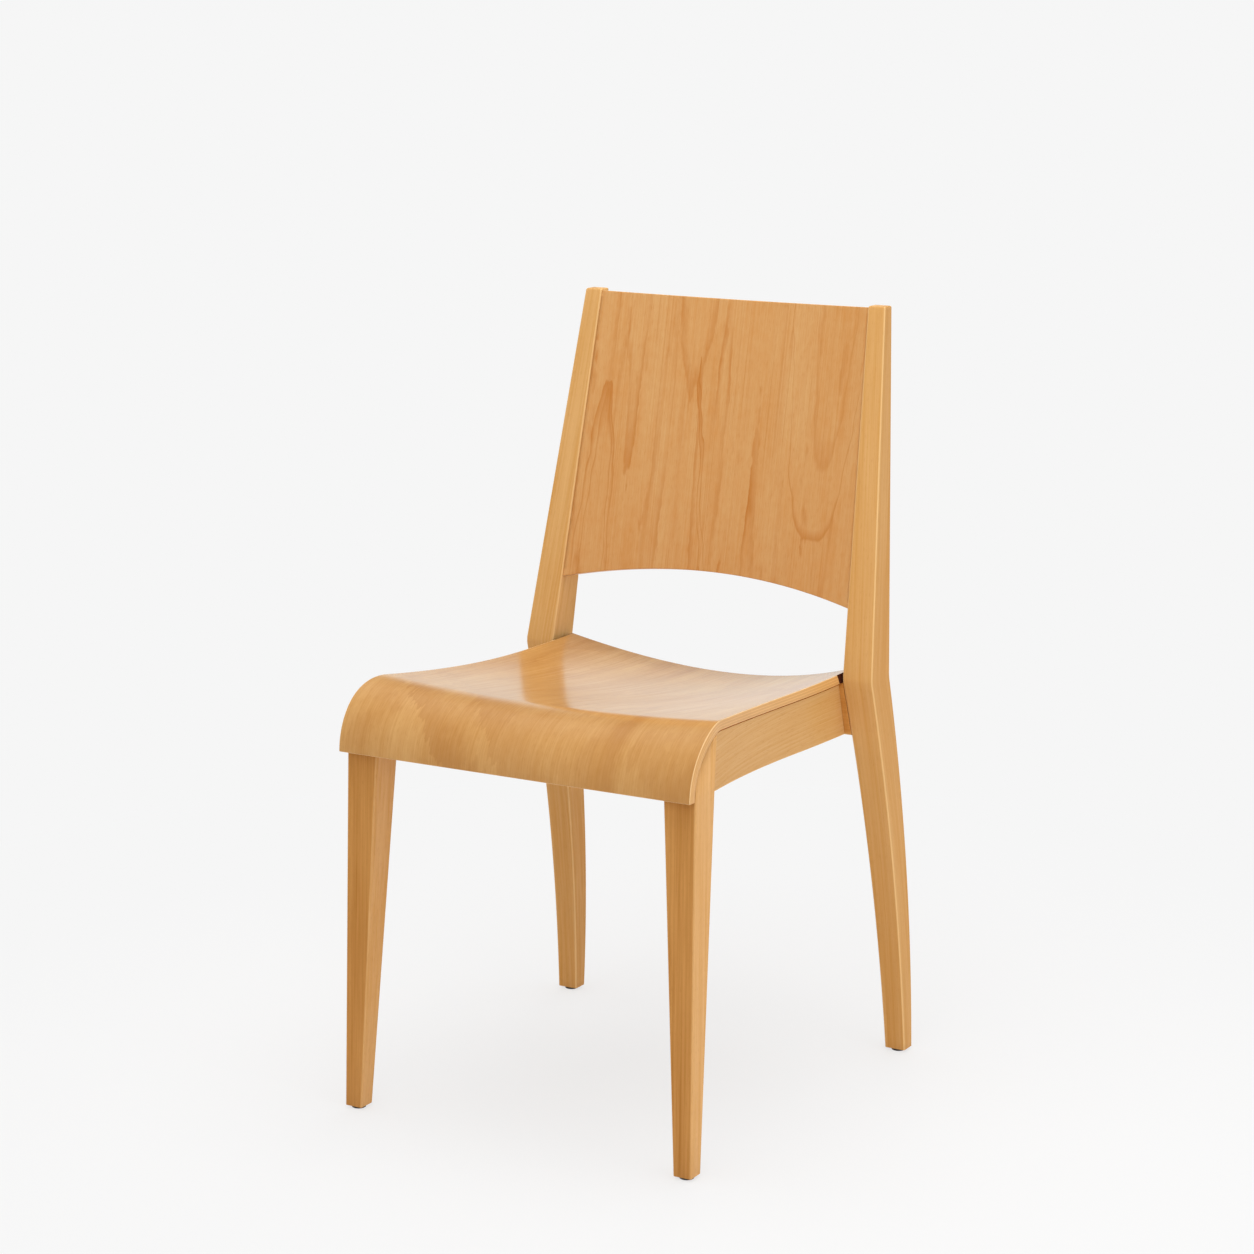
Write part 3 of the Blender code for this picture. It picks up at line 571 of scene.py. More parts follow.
@dataclass(frozen=True)
class PlywoodEdge:
    """The sanded edge of beech plywood: pale long-grain and darker end-grain plies, with glue lines."""

    name: str
    ply: float  # thickness of one ply, in metres
    pale: str = "#E4B272"
    dark: str = "#C48A48"
    glue: str = "#9A5C26"
    arris: str = "#F4D6A4"
    soft: float = 0.15  # how softly one ply turns to the next
    glue_width: float = 0.28
    glue_share: float = 0.45
    ply_share: float = 0.5  # of the plies in the tone
    tone: float = -0.45  # of a dark ply, before the marks
    rubbed: float = 0.50  # how far the upper or front rim turns to the arris colour, which is partly stain worn thin and partly painted highlight
    lacquer: Lacquer = Lacquer(roughness=0.28)
    roughness: Pair = (0.42, 0.56)
    relief: float = 0.15

    def build(self) -> Material:
        """Makes the material, on a grain map whose second coordinate is the depth in the sheet.

        Returns:
            The material.
        """
        material, shader, node = start_material(self.name)
        spot = node("ShaderNodeUVMap", uv_map=GRAIN_MAP)
        depth = node("ShaderNodeSeparateXYZ", {0: spot}).outputs[1]
        turn = node("ShaderNodeMath", {0: depth, 1: math.pi / self.ply}, operation="MULTIPLY")
        wave = node("ShaderNodeMath", {0: turn}, operation="SINE")
        layer = node("ShaderNodeMapRange", {0: wave, 1: -self.soft, 2: self.soft})
        joint = node("ShaderNodeMath", {0: wave}, operation="ABSOLUTE")
        joint = node("ShaderNodeMapRange", {0: joint, 1: 0.0, 2: self.glue_width, 3: self.glue_share, 4: 0.0})

        # Marks by their width and length in millimetres
        marks = {"fibre": (0.8, 60), "end": (0.9, 0.9), "blotch": (12, 120)}
        noise = draw_marks(node, spot, Grain.ACROSS, marks)
        tone = node("ShaderNodeMath", {0: layer, 1: self.ply_share, 2: self.tone}, operation="MULTIPLY_ADD")
        for word, share in (("fibre", 0.6), ("end", 0.2), ("blotch", 0.6)):
            tone = {0: noise[word], 1: share, 2: tone}
            tone = node("ShaderNodeMath", tone, operation="MULTIPLY_ADD", use_clamp=True)
        # A paler upper or front rim: partly stain worn thin, partly painted highlight
        rim_wear_and_highlight = {0: depth, 1: self.ply / 2, 2: self.ply / 5, 3: 0.0, 4: self.rubbed}
        rim_wear_and_highlight = node("ShaderNodeMapRange", rim_wear_and_highlight)
        layers = [(tone, self.pale), (joint, self.glue), (rim_wear_and_highlight, self.arris)]
        wood = lay_colours(node, self.dark, layers)

        surface = roughen(node, noise["end"], self.roughness, self.relief, RELIEF)
        feed(material.node_tree, shader, {"Base Color": wood} | surface)
        self.lacquer.lay_on(shader)
        return material


@dataclass(frozen=True)
class SawKerf:
    """Painted shade: the plywood edge in the narrow slot beside a rear leg, coloured dark red-brown to near
    black.
    """

    name: str = "scorched_saw_cut"
    pale: str = "#5A2410"
    dark: str = "#1E0D06"
    mark: Pair = (1.4, 3)  # width and length of a mottle in the painted shade, in millimetres
    roughness: float = 0.85
    gloss: float = 0.2

    def build(self) -> Material:
        """Makes the material, on the grain map of an edge.

        Returns:
            The material.
        """
        material, shader, node = start_material(self.name)
        spot = node("ShaderNodeUVMap", uv_map=GRAIN_MAP)
        shade_mottle = draw_marks(node, spot, Grain.ACROSS, {"shade_mottle": self.mark})["shade_mottle"]
        wood = lay_colours(node, self.dark, [(shade_mottle, self.pale)])
        inputs = {"Base Color": wood, "Roughness": self.roughness, "Specular IOR Level": self.gloss}
        feed(material.node_tree, shader, inputs)
        return material


@dataclass(frozen=True)
class ZincPlatedSteel:
    """Bright zinc plate on cold-headed steel: cool grey, with a fine uneven sparkle."""

    name: str = "zinc_plated_steel"
    pale: str = "#C9CCCE"
    dark: str = "#A3A7AA"
    grain_size: float = 0.6 * MM
    roughness: Pair = (0.24, 0.38)

    def build(self) -> Material:
        """Makes the material, on Object coordinates.

        Returns:
            The material.
        """
        material, shader, node = start_material(self.name)
        spot = node("ShaderNodeTexCoord").outputs["Object"]
        cloud = node("ShaderNodeTexNoise", {"Vector": spot, "Scale": 1 / self.grain_size, "Detail": 3.0})
        metal = lay_colours(node, self.dark, [(cloud, self.pale)])
        low, high = self.roughness
        matt = node("ShaderNodeMapRange", {0: cloud, 1: NOISE_LOW, 2: NOISE_HIGH, 3: low, 4: high})
        feed(material.node_tree, shader, {"Base Color": metal, "Roughness": matt, "Metallic": 1.0})
        return material


@dataclass(frozen=True)
class GlidePlastic:
    """Moulded dark brown polypropylene: dull, with a fine spark-eroded texture and pale scuffs."""

    name: str = "moulded_polypropylene"
    body: str = "#2B2522"
    scuff: str = "#4A413B"
    texture_size: float = 0.5 * MM
    scuff_levels: Pair = (0.55, 0.75)  # of the noise, where a scuff starts and is whole
    roughness: Pair = (0.48, 0.62)
    strength: float = 0.3
    relief: float = 0.1 * MM

    def build(self) -> Material:
        """Makes the material, on Object coordinates.

        Returns:
            The material.
        """
        material, shader, node = start_material(self.name)
        spot = node("ShaderNodeTexCoord").outputs["Object"]
        grit = node("ShaderNodeTexNoise", {"Vector": spot, "Scale": 1 / self.texture_size, "Detail": 2.0})
        rub = node("ShaderNodeMapRange", {0: grit, 1: self.scuff_levels[0], 2: self.scuff_levels[1]})
        skin = lay_colours(node, self.body, [(rub, self.scuff)])
        surface = roughen(node, grit, self.roughness, self.strength, self.relief)
        feed(material.node_tree, shader, {"Base Color": skin} | surface)
        return material


# The chair's finishes

REAR_WOOD = SolidBeech(
    "stained_beech_rear_legs",
    Grain.UPRIGHT,
    on_board=True,
    pale="#E5B97D",
    dark="#D59F57",
    # painted shade: darker colours below the bend and on the uprights' outer faces
    stained=("#D5A367", "#C58A43"),
)
FRONT_WOOD = SolidBeech(
    "stained_beech_front_legs",
    Grain.UPRIGHT,
    on_board=True,
    pale="#E0B078",
    dark="#D0964F",
    fleck="#A46A2E",
    rubbed=0.15,
    # painted shade: darker colours for the front and back faces
    stained=("#CF9655", "#AC7131"),
)
SIDE_WOOD = SolidBeech(
    "stained_beech_side_rails",
    Grain.LENGTHWISE,
    on_board=True,
    streaks=0.7,
    # painted shade: dark colours for the seam under the seat
    stained=("#AE6A22", "#9E5A14"),
)
CROSS_WOOD = SolidBeech("stained_beech_cross_rails", Grain.ACROSS, pale="#D0954F", dark="#BC7934")
BARE_WOOD = SolidBeech(
    "bare_beech",
    Grain.ACROSS,
    pale="#E2C59A",
    dark="#CBA674",
    fleck="#B58E5E",
    lacquer=None,
)
SEAT_FLAME = partial(Crown, height=0.10, power=2.0, tear=0.8)
SEAT_TIP = partial(Crown, height=0.10, power=1.5, tear=0.8)
SEAT_VENEER = BeechVeneer(
    "beech_veneer_seat",
    pale="#D8A96B",
    dark="#B87D38",
    line="#A86A2C",
    crowns=(
        SEAT_FLAME(-0.225, 0.270, half_width=0.190, fade=9.0, depth=0.27, soft=0.9),
        SEAT_FLAME(-0.225, 0.320, half_width=0.160, fade=0.1, depth=0.0, soft=0.06),
        SEAT_TIP(-0.232, 0.317, half_width=0.140, fade=9.0, depth=0.36, soft=0.6),
        SEAT_TIP(-0.232, 0.350, half_width=0.110, fade=0.1, depth=0.0, soft=0.06),
    ),
    offset=(3.7, 1.3, 0.0),
    ring_size=(80.0, 260.0),
    ring_lines=4.0,
    ring_start=0.15,
    ring_share=(0.05, 0.38),
    ragged=0.8,
    tear=0.5,
    patch_size=(45.0, 80.0),
    patch_from=0.70,
    patch_edge=0.05,
    patch_share=0.14,
    shares=(0.85, 0.42, 0.60, 0.25),
    pin_share=0.22,
    fibre_width=1.7,
    lacquer=Lacquer(weight=0.94, ior=1.5, under_gloss=0.1),
)
TORN_CROWN = partial(Crown, power=1.6, fade=1.0, depth=0.6, tear=0.9, soft=0.3)
BACK_VENEER = BeechVeneer(
    "beech_veneer_back",
    crowns=(
        Crown(-0.152, 0.741, half_width=0.0165, height=-0.10, fade=0.5),
        Crown(-0.150, 0.731, half_width=0.0105, height=-0.10, fade=0.5),
        TORN_CROWN(-0.046, 0.746, half_width=0.016, height=0.055),
        Crown(-0.0375, 0.760, half_width=0.0035, height=-0.230, power=2.0, fade=0.6, lean=-0.12, depth=0.85),
        Crown(0.124, 0.591, half_width=0.037, height=0.090, power=3.6, fade=0.16, tear=0.03),
        Crown(0.132, 0.672, half_width=0.020, height=0.080, fade=0.5, depth=0.45, soft=0.15),
    ),
)


# Meshes


@dataclass(frozen=True)
class Section:
    """A leg's cross-section at one height, on the right side of the chair."""

    inner: float
    outer: float
    front: float
    back: float

    def outline(self, inset: float, radius: float) -> list[tuple[float, float, float, float]]:
        """Walks round the section, from the outer back corner by the inner side.

        Args:
            inset: How far the outline is moved in.
            radius: Rounding of its corners.

        Returns:
            x, y, the arris share and the radial share of each point.
        """
        x0, x1 = self.inner + inset + radius, self.outer - inset - radius
        y0, y1 = self.front + inset + radius, self.back - inset - radius
        walk = []
        for quarter, (x, y) in enumerate(((x1, y1), (x0, y1), (x0, y0), (x1, y0))):
            for step in range(ARRIS_STEPS + 1):
                angle = math.pi / 2 * (quarter + step / ARRIS_STEPS)
                share = math.sin(math.pi * step / ARRIS_STEPS)
                radial = abs(1 - quarter % 2 - step / ARRIS_STEPS)
                walk.append((x + radius * math.cos(angle), y + radius * math.sin(angle), share, radial))
            end = walk[-1]
            reach_x, reach_y = ((x0 - x1, 0), (0, y0 - y1), (x1 - x0, 0), (0, y1 - y0))[quarter]
            for step in range(1, FLAT_STEPS):
                place = end[0] + reach_x * step / FLAT_STEPS, end[1] + reach_y * step / FLAT_STEPS
                walk.append((*place, 0.0, float(quarter % 2)))
        return walk


@dataclass
class Board:
    """The points of a leg or rail of the right side, with what its material reads at each of them."""

    name: str
    number: int  # gives each pair of boards its own figure
    points: list[Vector] = field(default_factory=list)
    places: list[Vector] = field(default_factory=list)  # where each point lies in the straightened board
    arris: list[float] = field(default_factory=list)
    # each point's share of painted shade
    stain: list[float] = field(default_factory=list)

    def add(self, point: Vector, place: Vector, arris: float, stain: float) -> None:
        """Adds a point.

        Args:
            point: The point, in the formulas' frame.
            place: Its place in the straightened board.
            arris: Its arris share.
            stain: Its share of painted shade.
        """
        self.points.append(point)
        self.places.append(place)
        self.arris.append(arris)
        self.stain.append(stain)


@dataclass
class Workshop:
    """Turns points and faces into finished pieces that ride on the frame."""

    frame: dict
    shift: float  # from the formulas' y to the frame's

    def make(self, name: str, points: list[Vector], faces: Faces) -> bpy.types.Object:
        """Makes an object of points and faces, smooth all over.

        Args:
            name: The piece's name.
            points: Its points, in the formulas' frame.
            faces: Indices of the points of each face, outwards.

        Returns:
            The object, which isn't on the frame yet.
        """
        mesh = bpy.data.meshes.new(name)
        mesh.from_pydata([point + Vector((0, self.shift, 0)) for point in points], [], faces)
        mesh.shade_smooth()
        made = bpy.data.objects.new(name, mesh)
        bpy.context.scene.collection.objects.link(made)
        return made

    def make_pair(self, board: Board, faces: Faces, wood: Material, crisp: bool = False) -> None:
        """Makes a leg or rail on both sides of the chair.

        Args:
            board: The points of the right one.
            faces: Its faces.
            wood: Its material.
            crisp: Whether its sharp edges stay crisp.
        """
        for side in Side:
            name = f"{board.name}_{side.word}"
            made = self.make(f"{name}_wood", *mirrored(board.points, faces, side))
            note_points(made, ARRIS_SHARE, board.arris)
            note_points(made, PAINTED_SHADE_SHARE, board.stain)
            start = BOARD_STEP * (board.number * side.value)
            note_ways(made, BOARD_PLACE, [place + start for place in board.places])
            if crisp:
                made.data.set_sharp_from_angle(angle=CRISP_ANGLE)
            self.mount(made, [name], [wood])

    def follow(self, made: bpy.types.Object, tree: Tree, sizes: dict[str, float]) -> None:
        """Gives an object a modifier that runs a tree.

        Args:
            made: The object.
            tree: The tree.
            sizes: Values of the tree's inputs, by their names.
        """
        rule = made.modifiers.new("rule", "NODES")
        rule.node_group = tree
        for item in tree.interface.items_tree:
            if item.in_out == "INPUT" and item.name in sizes:
                rule[item.identifier] = sizes[item.name]

    def settle(self, made: bpy.types.Object) -> None:
        """Turns an object's modifiers into a plain mesh.

        Args:
            made: The object.
        """
        bpy.context.view_layer.update()
        graph = bpy.context.evaluated_depsgraph_get()
        mesh = bpy.data.meshes.new_from_object(made.evaluated_get(graph))
        made.modifiers.clear()
        spent = made.data
        made.data = mesh
        bpy.data.meshes.remove(spent)
        mesh.name = made.name

    def mount(self, made: bpy.types.Object, nodes: list[str], materials: list[Material]) -> None:
        """Puts a finished piece on the frame.

        Args:
            made: The piece.
            nodes: The CAD nodes that it stands for.
            materials: Its materials, by its faces' indices; none where the mesh has them already.
        """
        for material in materials:
            made.data.materials.append(material)
        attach(made, BODY)
        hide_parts(*nodes)
        LOG.info("%s: %d faces, stands for %d nodes", made.name, len(made.data.polygons), len(nodes))

    def dress(self, names: list[str], material: Material) -> None:
        """Gives CAD nodes that stay in view a better material.

        Args:
            names: The nodes' names.
            material: Their material.
        """
        for name in names:
            for place in self.frame["nodes"][name].material_slots:
                place.material = material
            LOG.info("%s: CAD node in %s", name, material.name)


def ladder(size: int, start: int, first: int) -> Faces:
    """Closes a ring of points that is alike on both sides of one point, with rungs from side to side.

    Args:
        size: How many points the ring has.
        start: Index of the point between its two sides.
        first: Index of the ring's first point in the mesh.

    Returns:
        The faces, whose normals follow the ring's direction.
    """
    faces = []
    for step in range(size // 2):
        walk = [start + step, start + step + 1, start - step - 1, start - step]
        face = []
        for i in walk:
            if first + i % size not in face:
                face.append(first + i % size)
        faces.append(face)
    return faces


def ring_faces(rings: int, size: int) -> Faces:
    """Faces between rings of points that turn left-handed along a solid.

    Args:
        rings: How many rings there are.
        size: How many points each ring has.

    Returns:
        The faces, with both ends open.
    """
    faces = []
    for base in range(0, (rings - 1) * size, size):
        for i in range(size):
            j = (i + 1) % size
            faces.append([base + i, base + j, base + size + j, base + size + i])
    return faces


def leg_faces(rings: int, size: int) -> Faces:
    """Faces of a leg through so many rings of points of this size, with both ends closed."""
    faces = [list(reversed(face)) for face in ladder(size, RING_START, 0)]
    return faces + ring_faces(rings, size) + ladder(size, RING_START, (rings - 1) * size)


def foot_levels(bottom: float, bevel: float) -> list[Pair]:
    """Heights of the rings of points in the bevel under a foot, and how far each is moved in."""
    return [(bottom, bevel), (bottom + BEVEL_BEND * bevel, BEVEL_BEND * bevel)]


def mirrored(points: list[Vector], faces: Faces, side: Side) -> tuple[list[Vector], Faces]:
    """The same solid on one side of the chair.

    Args:
        points: Points of the right one.
        faces: Its faces.
        side: The side.

    Returns:
        Points and faces.
    """
    if side is Side.RIGHT:
        return points, faces
    return [Vector((-p.x, p.y, p.z)) for p in points], [list(reversed(face)) for face in faces]


def note_points(made: bpy.types.Object, name: str, values: list[float]) -> None:
    """Stores a number for each of an object's points, under a name that materials read."""
    kept = made.data.attributes.new(name, "FLOAT", "POINT")
    kept.data.foreach_set("value", values)


def note_ways(made: bpy.types.Object, name: str, ways: list[Vector]) -> None:
    """Stores a place or direction for each of an object's points, under a name that nodes read."""
    kept = made.data.attributes.new(name, "FLOAT_VECTOR", "POINT")
    kept.data.foreach_set("vector", [value for way in ways for value in way])


# Sub-assemblies


@dataclass
class RearLegs:
    """The rear legs, each one piece of wood from the foot to the top of the back."""

    chair_height: float = 0.850
    back: float = 0.2474  # of the feet
    foot_outer: float = 0.2310
    foot_width: float = 0.0246
    foot_depth: float = 0.0198
    knee_z: float = 0.4480
    knee_outer: float = 0.2222
    knee_width: float = 0.0359
    knee_depth: float = 0.0446
    knee_forward: float = 0.0611
    knee_bridge: float = 0.003  # half the height of the faces that bridge the bend
    top_outer: float = 0.1904
    top_width: float = 0.0209
    top_depth: float = 0.0174
    top_forward: float = 0.0074
    sabre_z: float = 0.220
    sabre_lean: float = 0.0155
    arris: float = 0.0018
    top_round: float = 0.0022
    top_turn: float = math.radians(75)  # how far the rounding of the top goes round
    foot_bevel: float = 0.0006
    bottom: float = 0.0031
    upright_shade: Triple = (0.55, 0.92, 0.0)  # painted shade above the bend on the front and back, outside and inside; the inner faces keep the palest colours as painted light
    # painted shade below the bend, in the same order
    foot_shade: Triple = (1.0, 0.8, 1.0)
    shade_height: float = 0.25  # below the bend, over which the painted shade gets to its darkest
    sabre_steps: int = 40
    upright_steps: int = 16
    top_steps: int = 5

    def section(self, z: float) -> Section:
        """The right leg's cross-section.

        Args:
            z: The height.

        Returns:
            The cross-section at that height.
        """
        knee_back = self.back - self.knee_forward
        if z <= self.knee_z:
            share = z / self.knee_z
            outer = mix(self.foot_outer, self.knee_outer, share)
            width = mix(self.foot_width, self.knee_width, share)
            root = math.sqrt(self.sabre_z**2 + (self.knee_z - 2 * self.sabre_z) * z)
            along = z / (self.sabre_z + root)
            foot_front = self.back - self.foot_depth
            front = bezier(foot_front, foot_front - self.sabre_lean, knee_back - self.knee_depth, along)
            back = bezier(self.back, self.back, knee_back, along)
        else:
            share = (z - self.knee_z) / (self.chair_height - self.knee_z)
            outer = mix(self.knee_outer, self.top_outer, share)
            width = mix(self.knee_width, self.top_width, share)
            back = mix(knee_back, self.back - self.top_forward, share)
            front = back - mix(self.knee_depth, self.top_depth, share)
        return Section(outer - width, outer, front, back)

    def levels(self) -> list[Pair]:
        """The rings of points.

        Returns:
            Each ring's height, and how far it is moved in.
        """
        levels = foot_levels(self.bottom, self.foot_bevel)
        first, last = self.bottom + self.foot_bevel, self.knee_z - self.knee_bridge
        levels += [(mix(first, last, i / self.sabre_steps), 0.0) for i in range(self.sabre_steps + 1)]
        first, last = self.knee_z + self.knee_bridge, self.chair_height - self.top_round
        levels += [(mix(first, last, i / self.upright_steps), 0.0) for i in range(self.upright_steps)]
        for step in range(self.top_steps + 1):
            angle = self.top_turn * step / self.top_steps
            levels.append((last + self.top_round * math.sin(angle), self.top_round * (1 - math.cos(angle))))
        return levels

    def stain(self, z: float, radial: float, face: int) -> float:
        """The share of painted shade at a point: it grows below the bend, and the uprights' inner faces keep
        none, as painted light.

        Args:
            z: Its height.
            radial: 0 on the front and back, 1 on the sides.
            face: Index of the side's share: 1 outside, 2 inside.

        Returns:
            The share.
        """
        below_bend = min(1.0, max(0.0, (self.knee_z - z) / self.shade_height))
        above, below = (mix(shade_triple[0], shade_triple[face], radial) for shade_triple in (self.upright_shade, self.foot_shade))
        return mix(above, below, below_bend)

    def build(self, shop: Workshop, wood: Material) -> None:
        """Makes both legs.

        Args:
            shop: The workshop.
            wood: Their material.
        """
        board = Board("rear_leg", number=1)
        levels = self.levels()
        for z, inset in levels:
            section = self.section(z)
            middle = (section.inner + section.outer) / 2
            for x, y, share, radial in section.outline(inset, max(self.arris - inset / 2, MM / 2)):
                place = Vector((x - section.outer, y - section.front, z))
                board.add(Vector((x, y, z)), place, share, self.stain(z, radial, 1 if x > middle else 2))
        shop.make_pair(board, leg_faces(len(levels), len(board.points) // len(levels)), wood)


@dataclass
class SeatShell:
    """The seat: moulded plywood, dished, with a rolled front edge."""

    front: float = -0.2474
    thickness: float = 0.010
    plies: int = 7
    front_half: float = 0.2127
    waist_half: float = 0.1815
    rear_y: float = 0.1779
    rear_z: float = 0.4541
    straight: float = 0.1305  # straight length of the sides, from the rear corners
    full_width: float = 0.0444  # length from the front at which the sides reach the front width
    corner: float = 0.12
    skirt_z: float = 0.399
    nose_radius: float = 0.0705
    nose_fall: float = 0.114
    dish_front: float = 0.009
    dish_rear: float = 0.033
    bow: float = 0.039
    rim: float = 0.0009
    rim_turn: float = math.radians(80)  # how far the rounded rims of the rear and front edges go round
    rim_clear: float = 3.0  # length that those rims take up, in rims
    rim_shown: float = 0.3  # how far a row of the rim is moved in before it counts as edge, in rims
    slot_y: float = 0.1440  # the sides stand in the slots behind this, where their edges get near-black painted shade
    flat_share: float = 0.96  # of the width, over which the columns are even
    shoulder_share: float = 0.985  # of the width, where one more column lies
    rim_steps: int = 5
    flat_rows: int = 56
    nose_rows: int = 44
    columns: int = 72
    probe: float = 0.002  # step along and across that shows which way the face points
    search_end: float = 1.97  # place along the seat, short of the skirt's lower edge, where a search ends
    halvings: int = 26
    corrections: int = 3
    nose_y: float = field(init=False)  # of the middle of the rolled front
    sweep: float = field(init=False)  # angle that the front rolls through
    nose_end_y: float = field(init=False)  # where the roll starts
    nose_end_z: float = field(init=False)
    run: float = field(init=False)  # length from there to the rear edge

    def __post_init__(self) -> None:
        """Sets out the places that follow from the sizes."""
        tilt = math.atan(self.nose_fall)
        self.nose_y = self.front + self.nose_radius
        self.sweep = math.pi / 2 + tilt
        self.nose_end_y = self.nose_y + self.nose_radius * math.sin(tilt)
        self.nose_end_z = self.skirt_z + self.nose_radius * math.cos(tilt)
        self.run = self.rear_y - self.nose_end_y

    def half_width(self, y: float) -> float:
        """Half the seat's width: straight at the rear, flaring to the front width in a rounded corner.

        Args:
            y: Place along the seat.

        Returns:
            Half the width there.
        """
        waist_y = self.rear_y - self.straight
        share = max(0.0, (waist_y - y) / (waist_y - self.front - self.full_width))
        if share > 1 + self.corner:
            share = 1.0
        elif share > 1 - self.corner:
            share -= (share - 1 + self.corner) ** 2 / (4 * self.corner)
        return mix(self.waist_half, self.front_half, share**2)

    def side_z(self, y: float) -> float:
        """Height of the seat's top along its side edges, behind the nose.

        Args:
            y: Place along the seat.

        Returns:
            The height.
        """
        behind = y - self.nose_end_y
        lift = self.rear_z - self.nose_end_z + self.nose_fall * self.run
        return self.nose_end_z - self.nose_fall * behind + lift * (behind / self.run) ** 2

    def top(self, along: float, across: float) -> Vector:
        """A point of the upper face.

        Args:
            along: 0 to 1 from the rear edge to the nose, and 1 to 2 down the rolled front.
            across: -1 to 1 from the left edge to the right.

        Returns:
            The point.
        """
        hollow = 1 - across**2
        if along <= 1:
            share = 1 - along
            y = self.nose_end_y + self.run * share
            dish = mix(self.dish_front, self.dish_rear, share * share * (3 - 2 * share))
            place = y + self.bow * share**2 * hollow
            return Vector((self.half_width(y) * across, place, self.side_z(y) - dish * hollow))
        turn = self.sweep * (2 - along)
        y = self.nose_y - self.nose_radius * math.cos(turn)
        rise = (self.nose_radius - self.dish_front * hollow) * math.sin(turn)
        return Vector((self.half_width(y) * across, y, self.skirt_z + rise))

    def point(self, along: float, across: float, depth: float) -> Vector:
        """A point under the upper face, square to it.

        Args:
            along: Place along the seat, as for the upper face.
            across: Place across it.
            depth: How deep under the face.

        Returns:
            The point.
        """
        forward = self.top(along + self.probe, across) - self.top(along - self.probe, across)
        sideways = self.top(along, across + self.probe) - self.top(along, across - self.probe)
        return self.top(along, across) - sideways.cross(-forward).normalized() * depth

    def under_z(self, x: float, y: float) -> float:
        """Height of the lower face over a place in plan.

        Args:
            x: The place across the chair.
            y: The place along it.

        Returns:
            The height.
        """
        near, far = 0.0, self.search_end
        across = x / self.front_half
        for _ in range(self.halvings):
            middle = (near + far) / 2
            for _ in range(self.corrections):
                across *= x / self.point(middle, across, self.thickness).x if abs(x) > TINY else 0.0
            if self.point(middle, across, self.thickness).y > y:
                near = middle
            else:
                far = middle
        return self.point(near, across, self.thickness).z

    def rows(self) -> list[Triple]:
        """The rows of points, from the rear edge to the front.

        Returns:
            Each row's place along the seat, how far it is moved in, and its length from the rear edge.
        """
        nose = self.nose_radius * self.sweep
        angles = [self.rim_turn * i / self.rim_steps for i in range(self.rim_steps + 1)]
        rear = [(self.rim * (1 - math.sin(a)), self.rim * (1 - math.cos(a))) for a in angles]
        rows = [(reach / self.run, inset, reach) for reach, inset in reversed(rear)]
        first = self.rim_clear * self.rim / self.run
        for i in range(self.flat_rows):
            along = mix(first, 1, i / self.flat_rows)
            rows.append((along, 0.0, along * self.run))
        last = 1 - self.rim_clear * self.rim / nose
        for i in range(self.nose_rows + 1):
            along = last * i / self.nose_rows
            rows.append((1 + along, 0.0, self.run + along * nose))
        rows += [(2 - reach / nose, inset, self.run + nose - reach) for reach, inset in rear]
        return rows

    def stations(self, inset: float) -> list[tuple[float, float, float, Zone]]:
        """Walks round the seat's cross-section, from left to right over the top and back underneath.

        Args:
            inset: How far the cross-section is moved in.

        Returns:
            Each point's share of the flat width, its reach beyond that, its depth, and the zone from there.
        """
        radius = self.rim - inset
        flats = [mix(-self.flat_share, self.flat_share, i / self.columns) for i in range(self.columns + 1)]
        spread = [-1.0, -self.shoulder_share, *flats, self.shoulder_share, 1.0]
        arc = []
        for centre, start in ((self.rim, 0), (self.thickness - self.rim, 1)):
            for i in range(self.rim_steps + 1):
                angle = math.pi / 2 * (start + i / self.rim_steps)
                arc.append((math.sin(angle) * radius, centre - math.cos(angle) * radius))
        walk = []
        for sign, depth in ((1, inset), (-1, self.thickness - inset)):
            walk += [(sign * share, 0.0, depth, Zone.FACE) for share in spread[:-1]]
            walk.append((float(sign), 0.0, depth, Zone.EDGE))
            walk += [(float(sign), sign * reach, deep, Zone.EDGE) for reach, deep in arc[1:-1][::sign]]
        return walk

    def build(self, shop: Workshop, materials: list[Material]) -> None:
        """Makes the shell, with its grain map.

        Args:
            shop: The workshop.
            materials: Those of the zones, in their order.
        """
        points = []
        maps = []
        rows = self.rows()
        for along, inset, length in rows:
            half = self.half_width(self.top(along, 1.0).y)
            for share, reach, depth, _ in self.stations(inset):
                place = share * (half - self.rim) + reach
                points.append(self.point(along, place / half, depth))
                maps.append((place, length, depth))
        zones = [zone for *_, zone in self.stations(0.0)]
        size = len(zones)
        faces = []
        kinds = []
        for row in range(len(rows) - 1):
            base = row * size
            rounded = max(rows[row][1], rows[row + 1][1]) > self.rim_shown * self.rim
            # Flat side edges in the slots get the near-black painted shade
            edge = Zone.SLOT if points[base].y > self.slot_y and not rounded else Zone.EDGE
            for i in range(size):
                j = (i + 1) % size
                faces.append([base + i, base + size + i, base + size + j, base + j])
                kinds.append(edge if rounded or zones[i] is Zone.EDGE else Zone.FACE)
        for base, step in ((0, 1), ((len(rows) - 1) * size, -1)):
            for face in self.end_faces(size):
                faces.append([base + i for i in face[::step]])
                kinds.append(Zone.EDGE)
        made = shop.make("seat_shell_plywood", points, faces)
        self.map_grain(made, maps, kinds)
        shop.mount(made, ["seat_shell"], materials)

    def end_faces(self, size: int) -> Faces:
        """Faces that close an end of the shell, from its upper points to its lower ones.

        Args:
            size: How many points the cross-section has.

        Returns:
            The faces, by index in the cross-section.
        """
        arc = 2 * self.rim_steps
        upper = size // 2 - arc
        faces = []
        for i in range(upper - 1):
            faces.append([i, i + 1, 2 * upper + arc - 2 - i, 2 * upper + arc - 1 - i])
        faces.append([upper - 1 + i for i in range(arc + 2)])
        faces.append([(2 * upper + arc - 1 + i) % size for i in range(arc + 2)])
        return faces

